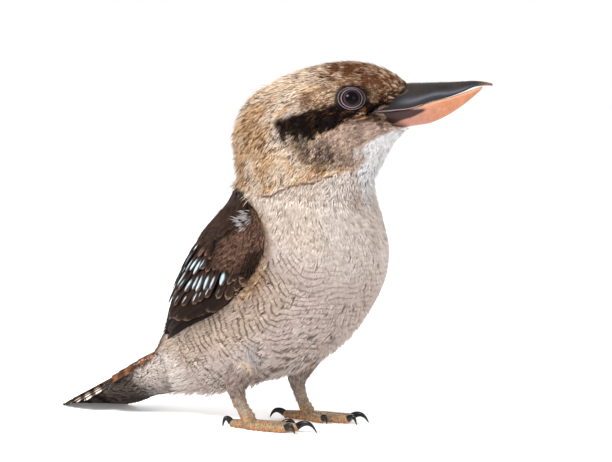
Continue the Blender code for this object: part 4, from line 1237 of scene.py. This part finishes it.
def shoulderDensity(u, v):
    # from the wing's bend to under the scapulars
    a = np.abs(v)
    back, side = wingEdges(u)
    return 1.0 * (a > back + 4) * (a < side + 1.5) * (u > 4.9 + 0.02 * (a - 56) + 0.5 * scapular(u, v))


for side, sign in sides:
    groups = [wingTier(sign, number, tier) for number, tier in enumerate(wing["tiers"])]
    vanePiece("wing_feathers_" + side, groups, wingWeb, ("wing_" + side,), [wingShell(sign)])
    blades("coat_shoulder_" + side, fuzzPoint, "body", covertColour, dict(
        feathers=2650, box=half(sign, 4.9, 8.0, 12, 88), density=shoulderDensity, fan=16, length=8.0,
        width=1.1, lift=1.0, loose=0.25, stray=14, seed=40, depth=level(1.6),
        lie=level(20.0 * sign)), wingWeb)
print("wings made")


# The tail: twelve long feathers on an arch, the outer under the inner, and its coverts

barred = tones(black=(34, 25, 22), rufous=(140, 84, 50), white=(226, 210, 192), orange=(214, 148, 90),
               under=(58, 47, 43), underBar=(116, 104, 96))


def arched(reach, arc, depth):
    root, heading, side, above, _ = tailFrame()
    bend = np.asarray(arc / tailPlan["radius"])[..., None]
    out = above * np.cos(bend) + side * np.sin(bend)
    middle = root + heading * np.asarray(reach)[..., None] - above * tailPlan["radius"]
    return middle + out * (tailPlan["radius"] - np.asarray(depth))[..., None], out


def tailTint(across, along, face, order, sign, length):
    # dark bars on rufous, on white in the outer webs; grey below with faint bars
    y = along * length[:, None, None] + 1.2 * np.abs(across)
    bar = fade(np.cos((y / 9.6 + 0.13 * order) * 2 * math.pi), -0.08, 0.3)
    outer = fade(across * sign, 0.1, 0.45) * min(1.0, 0.25 + 0.25 * order)
    colour = toward(barred["rufous"], barred["orange"], outer)
    colour = toward(colour, barred["white"], outer * fade(along, 0.3, 0.7) * min(1.0, order / 4))
    colour = toward(colour, barred["black"], bar * (0.92 if order else 0.7))
    if order < 2:
        colour = toward(colour, barred["black"], 0.45 + 0 * bar)
    colour = toward(colour, barred["white"], fade(along, 0.965, 0.985) * min(1.0, order / 3) * 0.9)
    below = toward(barred["under"], barred["underBar"], (1 - bar) * 0.6)
    return colour * face[..., None] + below * (1 - face)[..., None]


def tailFeather(order, sign):
    length = tailFrame()[-1]
    rows = 46
    share = np.linspace(0, 1, rows)[None, :] ** 0.85
    rootArc, rootStep, tipArc, tipStep = tailPlan["spread"]
    arc = rootArc + rootStep * order + (tipArc - rootArc + (tipStep - rootStep) * order) * share
    layer = (order + 1 if order else (sign < 0)) + (0.13 if sign < 0 else 0.0)
    arc = arc + (0.17 if sign < 0 else 0.0)
    reach = 8.0 + (length - 17.5 - tailPlan["graduation"] * order**1.5) * share
    spine, out = arched(reach, sign * arc + tailPlan["shift"], 0.9 * layer + 2.6 * (1 - share) ** 2)
    points, x, y, face = vaneShapes(spine, out, np.full(1, tailPlan["half"]), tipRound=0.12, rootShare=0.5,
                                    camber=0.09, thick=0.4, ragged=0.05, seed=90 + order)
    points[..., 2] = np.maximum(points[..., 2], 0.05)
    total = spineLength(spine)
    return points, x, y, total, tailTint(x, y, face, order, sign, total)


def tailCoverts():
    # long barred coverts from the rump over the tail's root
    draw = np.random.default_rng(97)
    groups = []
    for row, (start, reach, count) in enumerate(((10, 31, 21), (2, 31, 21), (-6, 30, 19), (-14, 28, 17))):
        share = np.linspace(0, 1, 16)[None, :] ** 0.85
        order = np.linspace(-1, 1, count)[:, None] + draw.normal(0, 0.04, (count, 1))
        arc = order * (21 + 8 * share)
        reaches = start + (reach - 6 * order**2) * share + draw.normal(0, 0.5, (count, 1))
        depth = 2.3 - 1.6 * share - 0.3 * row + 0 * order
        spine, out = arched(reaches, arc + tailPlan["shift"] * 0.4, depth)
        points, x, y, _ = vaneShapes(spine, out, np.full(count, 3.2), camber=0.1, seed=98 + row, ragged=0.1,
                                     tipRound=0.5)
        bar = fade(np.cos((y * 3.1 + 0.3 * row) * 2 * math.pi), -0.2, 0.3)
        colour = flood(palette["rumpRed"], bar) * (0.7 + 0.5 * draw.uniform(0, 1, (count, 1, 1, 1)))
        groups.append((points, x, y, spineLength(spine), toward(colour, barred["black"], bar * 0.75)))
    return groups


groups = [tailFeather(order, sign) for sign in (-1, 1) for order in range(tailPlan["pairs"])]
vanePiece("tail_feathers", groups + tailCoverts(), tailWeb, ("tail",))
print("tail made")


# The bill: arched rings along each half, with the nostril's slit pressed into the upper one

bill = {
    # x, culmen z, cutting edge z, half width
    "upper": ((46, 241, 232.5, 12.5), (56, 247, 233.8, 13.6), (66, 251.5, 234.6, 13.6),
              (79, 255.2, 236.2, 12.6), (88, 255.6, 238.6, 11.2), (99, 255.8, 241.9, 9.3),
              (110, 256, 244.6, 7.3), (121, 256.4, 248.3, 5.2), (130, 256.7, 252.1, 3.4),
              (138, 256, 253.2, 2.2), (144, 254.6, 253.0, 1.2)),
    # x, cutting edge z, keel z, half width
    "lower": ((46, 231.9, 227.5, 11.6), (56, 233.2, 226.5, 12.8), (66, 234.1, 224, 12.8),
              (79, 235.7, 222.8, 12), (88, 238.1, 223.8, 10.6), (99, 241.4, 225.8, 8.8),
              (110, 244.0, 230.6, 6.9), (118, 246.2, 235.6, 5.2), (125, 248.5, 240.6, 3.7),
              (132, 251.0, 246.6, 2.2), (136.5, 252.5, 250.8, 0.9)),
    # x, lower and upper limit z of the lower half's dark wedge
    "wedge": ((60, 219, 240), (69, 225.2, 240), (83.5, 229.8, 236.4), (96, 235.8, 236.6)),
    "nostril": (76, 248.2), "slit": (5.8, 0.8), "slope": 25.0, "slitDepth": 1.2}
horn = tones(
    black=(22, 19, 20), grey=(44, 37, 34), sheen=(96, 100, 112), tip=(110, 82, 64), pale=(170, 112, 80),
    pink=(164, 116, 102), wedge=(36, 21, 21), rim=(200, 156, 128), deep=(8, 6, 6), gape=(140, 116, 118),
    brim=(92, 64, 58))


def billRings(rows, keel):
    # a round back and a flat cutting side; keel is 1 for the upper half and -1 for the lower
    x, top, bottom, wide = np.moveaxis(through(rows, np.linspace(0, len(rows) - 1, 130)), -1, 0)[..., None]
    edge, back = (bottom, top) if keel > 0 else (top, bottom)
    depth = np.abs(back - edge)
    angle = np.radians(np.linspace(-90, 90, 60))
    inner = np.linspace(1, -1, 10)[1:-1]
    y = wide * np.append(np.sin(angle), inner)
    rise = np.concatenate([depth * np.cos(angle) ** 0.85, np.minimum(0.9, 0.12 * depth) * (1 - inner**4)], 1)
    return np.stack([x + 0 * y, y, edge + keel * rise], -1)


def blendTo(colour, name, weight):
    return toward(colour, horn[name], np.clip(weight, 0, 1))


def billHalf(name, rings, colour, material, node):
    points, faces = closedTube(turned(rings, np.array(18.0)))
    makePiece(name, points, faces, material, (node,), withEnds(colour[None])[0])


def upperBill():
    x, y, z = np.moveaxis(billRings(bill["upper"], 1), -1, 0)
    slope, (long, high) = math.radians(bill["slope"]), bill["slit"]
    dx, dz = x - bill["nostril"][0], z - bill["nostril"][1]
    along, across = dx * math.cos(slope) + dz * math.sin(slope), dz * math.cos(slope) - dx * math.sin(slope)
    slit = blot(along / long, across / high, 0.55, 1.15)
    brim = blot(along / (long + 0.6), (across + 0.6) / (high + 0.45), 0.6, 1.2)
    outer = np.abs(y) > 4
    y = y + np.sign(y) * outer * (0.35 * brim - bill["slitDepth"] * slit)
    # black horn, greyer on the culmen, a painted bluish reflection in a band above the cutting edge, a worn
    # brown tip
    culmen, edge = (readAt(bill["upper"], x, column) for column in (1, 2))
    height = (z - edge) / np.maximum(culmen - edge, 0.5)
    smear = ripple(np.stack([x * 0.25, y, z], -1), 5.0, 41)
    # painted reflection: a bluish band of sheen along the bulge above the cutting edge
    band = bell((height - 0.30 + 0.06 * smear) / 0.10) * fade(x, 70, 84) * fall(x, 118, 132)
    colour = blendTo(flood(horn["black"], x), "grey", 0.16 + 0.42 * fade(height, 0.35, 0.9) + 0.12 * smear)
    colour = blendTo(colour, "sheen", band * 0.42)
    colour = blendTo(colour, "tip", fade(x, 131, 142) * 0.8)
    colour = blendTo(colour, "brim", brim * outer * 0.8)
    # painted shade: the nostril's slit is near black for the shade inside the opening
    colour = blendTo(colour, "deep", slit * outer)
    billHalf("bill_upper", np.stack([x, y, z], -1), colour, billBlack, "upper_bill")


def lowerBill():
    rings = billRings(bill["lower"], -1)
    x, y, z = np.moveaxis(rings, -1, 0)
    smear = ripple(np.stack([x * 0.3, y, z], -1), 6.0, 43)
    below = readAt(bill["lower"], x) - z
    colour = blendTo(flood(horn["pale"], x), "pink", fall(x, 84, 112) * 0.8 + 0.1 * smear)
    # painted highlight: paler along the upper edge towards the tip, where the light falls
    colour = blendTo(colour, "rim", fall(below, 0.4, 2.6) * fade(x, 84, 100) * 0.6 + 0.08 * smear)
    # a dark wedge from the gape, paler horn above its point
    floor, ceiling = (readAt(bill["wedge"], x, column) for column in (1, 2))
    dark = fade(z - floor + 0.4 * smear, -0.6, 0.7) * fall(z - ceiling + 0.3 * smear, -0.5, 0.5)
    colour = blendTo(colour, "wedge", dark * fall(x, 92, 97) * 0.96)
    billHalf("bill_lower", rings, colour, billPale, "lower_bill")


upperBill()
lowerBill()


def gapeFold(side):
    # the bare fold at the corner of the mouth, a thin roll from behind the bill along its edge
    path = [(50, 13.9, 233.6, 0.25), (57, 14.5, 234.5, 0.5), (64, 14.4, 235.0, 0.5), (72, 13.6, 235.7, 0.36),
            (82, 12.3, 236.7, 0.3), (92, 10.6, 239.7, 0.2)] * np.array([1, side, 1, 1])
    points, faces = closedTube(pathPoint(path)(*grid(np.linspace(0, 5, 48), np.linspace(0, 360, 17)[:-1])))
    return turned(points, np.array(18.0)), faces, flood(horn["gape"], points[:, 0])


points, faces, tint = together([gapeFold(-1), gapeFold(1)])
makePiece("gape_folds", points, faces, lidSkin, (), tint)


# Eyes: a ball with a fuller cornea, iris and pupil in its markings, and two rolls of lid

eyeLook = {"pupil": 4.6, "iris": 6.4, "ball": 9.0,
           # each roll's reach across and up, and its thickness
           "rolls": ((7.5, 6.7, 0.52), (9.7, 7.9, 0.5)), "least": 5.2}
iris = tones(pupil=(4, 4, 6), inner=(34, 20, 22), outer=(72, 42, 44), rim=(24, 14, 18), lid=(116, 107, 114),
             lidDark=(18, 13, 15))


def lidRoll(place, wide, tall, thick):
    # a wrinkled ring that lies on the ball, lower and flatter over the top
    centre, outward, across, above = place
    turn, around = grid(np.linspace(0, 2 * math.pi, 121)[:-1], np.linspace(0, 2 * math.pi, 13)[:-1])
    out, up = wide * np.cos(turn), tall * np.sin(turn)
    reach = np.hypot(out, up)
    tilt = np.arcsin(np.minimum(reach / eyeLook["ball"], 0.97))
    spoke = (out / reach)[..., None] * across + (up / reach)[..., None] * above
    radial = np.cos(tilt)[..., None] * outward + np.sin(tilt)[..., None] * spoke
    stand = np.maximum(np.sqrt(np.maximum(eyeLook["ball"] ** 2 - reach**2, 0)), eyeLook["least"])
    base = centre + outward * stand[..., None] + spoke * reach[..., None]
    flatwise = unit(np.cross(radial, np.cross(spoke, outward)))
    roll = thick * (1 + 0.14 * np.sin(turn * 33) + 0.10 * np.sin(turn * 19 + 1))
    points = (base + radial * (roll * 0.8 * np.sin(around))[..., None]
              + flatwise * (roll * np.cos(around))[..., None])
    a = np.arange(turn.size).reshape(turn.shape)
    b, c = np.roll(a, -1, 1), np.roll(a, -1, 0)
    d = np.roll(b, -1, 0)
    faces = np.concatenate([np.stack([a, b, d], -1), np.stack([a, d, c], -1)]).reshape(-1, 3)
    # painted shade: each roll pale on its crest and dark on its sides and underside, the shade between the
    # rolls
    shade = fade(0.5 - 0.5 * np.sin(around), 0.02, 0.4) * 0.95
    return points.reshape(-1, 3), faces, toward(iris["lid"], iris["lidDark"], shade).reshape(-1, 3)


def eyePieces(word, side):
    place = eyePlace(side)
    centre, outward, across, above = place
    theta, phi = grid(np.linspace(0.02, math.pi - 0.02, 64), np.linspace(0, 2 * math.pi, 73)[:-1])
    radius = eye["radius"] + 0.35 * bell(theta / 0.55)
    spoke = np.cos(phi)[..., None] * across + np.sin(phi)[..., None] * above
    heading = np.cos(theta)[..., None] * outward + np.sin(theta)[..., None] * spoke
    rings = centre + radius[..., None] * heading
    points, faces = closedTube(rings)
    away = eye["radius"] * np.sin(theta) + 20 * (theta > 1.6)
    ray = 0.5 + 0.5 * np.sin(phi * 47 + 3 * np.sin(phi * 9))
    colour = toward(iris["inner"], iris["outer"], fade(away, 4.9, 5.8) * (0.5 + 0.4 * ray))
    colour = toward(colour, iris["rim"], fade(away, eyeLook["iris"] - 0.6, eyeLook["iris"] + 0.1))
    colour = toward(colour, iris["pupil"], fall(away, eyeLook["pupil"] - 0.25, eyeLook["pupil"] + 0.25))
    tint = withEnds(colour[None])[0]
    makePiece("eyeball_" + word, points, faces, eyeWet, ("eye_" + word,), tint)
    points, faces, tint = together([lidRoll(place, *roll) for roll in eyeLook["rolls"]])
    makePiece("lids_" + word, points, faces, lidSkin, (), tint)


for side, sign in sides:
    eyePieces(side, sign)
print("head made")


# Feet: scaled tubes with scutes along the top of each toe, pads below, and arched claws

feet = {
    "tarsus": {
        "right": ((-36.5, -27.0, 27.5, 5.2), (-35, -27.3, 21.6, 5.0), (-31.5, -27.8, 15, 4.6),
                  (-27, -28.4, 8.5, 5.3), (-24, -28.8, 4.4, 4.6)),
        "left": ((-8.6, 20.2, 27, 4.6), (-7, 20, 20.6, 4.5), (-4.5, 20, 14, 4.3), (-1.2, 19.8, 8, 5.1),
                 (1.5, 19.6, 4.2, 4.5))},
    # hind, inner, middle and outer toe
    "toes": {
        "right": (((-27, -28.8, 3.4, 3.8), (-34, -28.4, 2.9, 3.4), (-39.5, -28, 3.0, 2.9)),
                  ((-25, -27, 3.3, 3.5), (-12, -20.5, 2.8, 3.1), (-4, -17.5, 3.1, 2.7)),
                  ((-26, -28.5, 3.6, 4.2), (-13, -26.8, 3.2, 3.8), (0, -25, 3.0, 3.5), (10, -24, 3.2, 2.9)),
                  ((-25, -31, 3.3, 3.8), (-9, -32.2, 2.9, 3.3), (4.5, -31.8, 3.2, 2.8))),
        "left": (((-1, 19.5, 3.4, 3.8), (-11, 20.1, 3.0, 3.4), (-18.5, 19.6, 3.1, 2.9)),
                 ((2, 17.5, 3.3, 3.4), (10, 14.0, 2.8, 3.1), (14.5, 12.4, 3.1, 2.7)),
                 ((0, 19.5, 3.6, 4.2), (12, 19.6, 3.2, 3.7), (24, 19.8, 3.0, 3.4), (32.5, 19.0, 3.3, 2.8)),
                 ((2, 22, 3.3, 3.8), (15, 26.4, 2.9, 3.4), (31, 28.2, 3.2, 2.8)))},
    # each claw's point and the height of its arch
    "claws": {
        "right": ((-46.5, -31.0, 6.4), (6.5, -14.5, 5.4), (27.0, -23.6, 6.8), (14.0, -34.0, 5.8)),
        "left": ((-30.0, 15.5, 5.8), (20.5, 8.6, 5.4), (42.0, 14.8, 5.8), (46.5, 27.2, 6.0))},
    "clawBase": 2.5, "clawTip": 0.4}
footTones = tones(top=(160, 128, 92), under=(184, 120, 70), seam=(66, 46, 32), olive=(132, 114, 84),
                  shank=(146, 130, 112), claw=(13, 12, 14))


def scaledTube(path, samples, around, pitch):
    # a tube with round ends whose radius swells with each scute; a quarter turn from its side is its top
    rows = through(path, np.linspace(0, len(path) - 1, samples))
    centre, radius = rows[:, :3], rows[:, 3]
    heading = unit(np.gradient(centre, axis=0))
    reach = np.concatenate([[0], np.cumsum(np.linalg.norm(np.diff(centre, axis=0), axis=1))])
    dome = np.linspace(0.12, 1.35, 7)
    cap, past = np.sin(dome), np.cos(dome)
    before = centre[0] - heading[0] * (radius[0] * past)[:, None]
    after = centre[-1] + heading[-1] * (radius[-1] * past[::-1])[:, None]
    reach = np.concatenate([reach[0] - radius[0] * past, reach, reach[-1] + radius[-1] * past[::-1]])
    centre = np.concatenate([before, centre, after])
    radius = np.concatenate([radius[0] * cap, radius, radius[-1] * cap[::-1]])
    heading = np.concatenate([np.repeat(heading[:1], 7, 0), heading, np.repeat(heading[-1:], 7, 0)])
    upright = abs(heading[:, 2]).mean() > 0.5
    side = unit(np.cross(heading, [0.02, 1.0, 0.03] if upright else [0.0, 0.02, 1.0]))
    other = np.cross(side, heading)
    if other[:, 2].mean() < 0:
        side, other = -side, -other
    angle = np.arange(around) * 2 * math.pi / around
    top = np.clip(0.6 + 0 * angle if upright else np.sin(angle), 0, 1)
    saw = (reach / pitch) % 1.0
    plate = (1 - saw) ** 1.5 * 0.5 + 0.5 * np.minimum(saw * 6, 1)
    swell = 1 + (0.15 * (plate[:, None] - 0.5)) * top
    pad = 1 + 0.14 * np.sin(reach / 4.2 * 2 * math.pi)[:, None] * np.clip(-np.sin(angle), 0, 1)
    spoke = np.cos(angle)[:, None] * side[:, None] + np.sin(angle)[:, None] * other[:, None]
    rings = centre[:, None] + (radius[:, None] * swell * pad)[..., None] * spoke
    rings[..., 2] = np.maximum(rings[..., 2], 0.04)
    seam = fall(np.minimum(saw, 1 - saw), 0.0, 0.13)[:, None] * top
    tone = toward(footTones["top"], footTones["under"], fade(-spoke[..., 2], -0.3, 0.6))
    tone = toward(tone, footTones["olive"], fade(ripple(rings, 9.0, 51), 0.0, 0.8) * 0.6)
    tone = toward(tone, footTones["seam"], fade(ripple(rings, 4.0, 52), 0.2, 0.9) * 0.35)
    tone = toward(tone, footTones["shank"], fade(rings[..., 2], 8.0, 14.0) * 0.75)
    tone = toward(tone, footTones["seam"], seam * 0.85)
    return *closedTube(rings), withEnds(tone[None])[0]


def clawShell(side, toe):
    # a claw along an arc from inside the toe's end, over its back and down to its point
    end = np.array(feet["toes"][side][toe][-1][:3], float)
    x, y, high = feet["claws"][side][toe]
    tip = np.array([x, y, 0.6])
    reach = unit((tip - end) * [1, 1, 0])
    start = end + reach * 1.2 + [0, 0, 0.6]
    arch = (start + tip) / 2 + reach * 1.0 + [0, 0, high - (start[2] + tip[2]) / 2]
    share = np.linspace(0, 1, 40)[:, None]
    control = 2 * arch - (start + tip) / 2
    centre = start * (1 - share) ** 2 + 2 * control * share * (1 - share) + tip * share**2
    radius = feet["clawBase"] + (feet["clawTip"] - feet["clawBase"]) * share**1.3
    heading = unit(np.gradient(centre, axis=0))
    flank = unit(np.cross(heading, [0, 0, 1.0]))
    up = np.cross(flank, heading)
    angle = (np.arange(20) * 2 * math.pi / 20)[:, None]
    spoke = 0.82 * np.cos(angle) * flank[:, None] + 1.05 * np.sin(angle) * up[:, None]
    rings = centre[:, None] + radius[:, None] * spoke
    rings[..., 2] = np.maximum(rings[..., 2], 0.03)
    points, faces = closedTube(rings)
    return points, faces, flood(footTones["claw"], points[:, 0])


for side, _ in sides:
    shells = [scaledTube(feet["tarsus"][side], 90, 36, 2.6)]
    shells += [scaledTube(path, 80, 32, 2.3) for path in feet["toes"][side]]
    points, faces, tint = together(shells)
    makePiece("foot_skin_" + side, points, faces, footScale, ("foot_" + side,), tint)
    points, faces, tint = together([clawShell(side, toe) for toe in range(4)])
    names = ["claw_%s_%d" % (side, toe + 1) for toe in range(4)]
    makePiece("claws_" + side, points, faces, clawHorn, names, tint)
print("feet made")


# Floor, light and camera

studio = {"floor": (0.93, 0.93, 0.935), "camera": (603.2, -1277.8, 290.0), "azimuth": 25.0, "pitch": -5.835,
          "lens": 112.8, "aim": (0, 0, 0.14),
          # each lamp's place, its size in metres and its power
          "lamps": {"key": ((-0.35, -1.1, 1.25), 0.6, 34.0), "fill": ((1.3, -0.8, 0.7), 0.9, 6.0),
                    "back": ((-0.6, 1.1, 0.9), 0.8, 8.0)}}


def floorDisc():
    # a plain disc 12 m wide, a little below the soles
    angle, here = np.arange(96) * 2 * math.pi / 96, np.arange(96)
    points = np.stack([6 * np.cos(angle), 6 * np.sin(angle), 0 * angle - 0.0001], 1)
    mesh = bpy.data.meshes.new("floor")
    mesh.from_pydata([*points.tolist(), (0, 0, -0.0001)], [],
                     np.stack([here, (here + 1) % 96, np.full(96, 96)], 1).tolist())
    paint = Paint("floorPaint", Roughness=0.75, Specular_IOR_Level=0.2, Emission_Strength=0.12)
    brighter = tuple(c * 1.01 for c in studio["floor"])
    tone = paint.ramp(paint.noise(3.0, 2.0), (0.3, studio["floor"]), (0.7, brighter))
    mesh.materials.append(paint.finish(tone))
    newObject("floor", mesh)


def aimed(thing, right, up, back, place):
    thing.matrix_world = Matrix([[right[k], up[k], back[k], place[k]] for k in range(3)] + [[0, 0, 0, 1]])


def areaLight(name, place, size, power):
    lamp = bpy.data.lights.new(name, "AREA")
    lamp.shape, lamp.size, lamp.energy = "DISK", size, power
    back = unit(np.array(place) - studio["aim"])
    right = unit(np.cross([0, 0, 1.0], back))
    aimed(newObject(name, lamp), right, np.cross(back, right), back, place)


def setCamera():
    azimuth, pitch = math.radians(studio["azimuth"]), math.radians(studio["pitch"])
    right = np.array([math.cos(azimuth), math.sin(azimuth), 0])
    level = np.array([-math.sin(azimuth), math.cos(azimuth), 0])
    forward = level * math.cos(pitch) + np.array([0, 0, math.sin(pitch)])
    camera = newObject("camera", bpy.data.cameras.new("camera"))
    camera.data.lens, camera.data.sensor_width, camera.data.clip_end = studio["lens"], 36.0, 50.0
    aimed(camera, right, np.cross(right, forward), -forward, (np.array(studio["camera"]) + shift) * 0.001)
    bpy.context.scene.camera = camera


floorDisc()
for name, lamp in studio["lamps"].items():
    areaLight(name, *lamp)
world = bpy.data.worlds.new("studio")
world.use_nodes = True
world.node_tree.nodes["Background"].inputs["Color"].default_value = (1, 1, 1, 1)
world.node_tree.nodes["Background"].inputs["Strength"].default_value = 1.0
bpy.context.scene.world = world
bpy.context.scene.view_settings.view_transform = "Standard"
setCamera()
print("studio made")
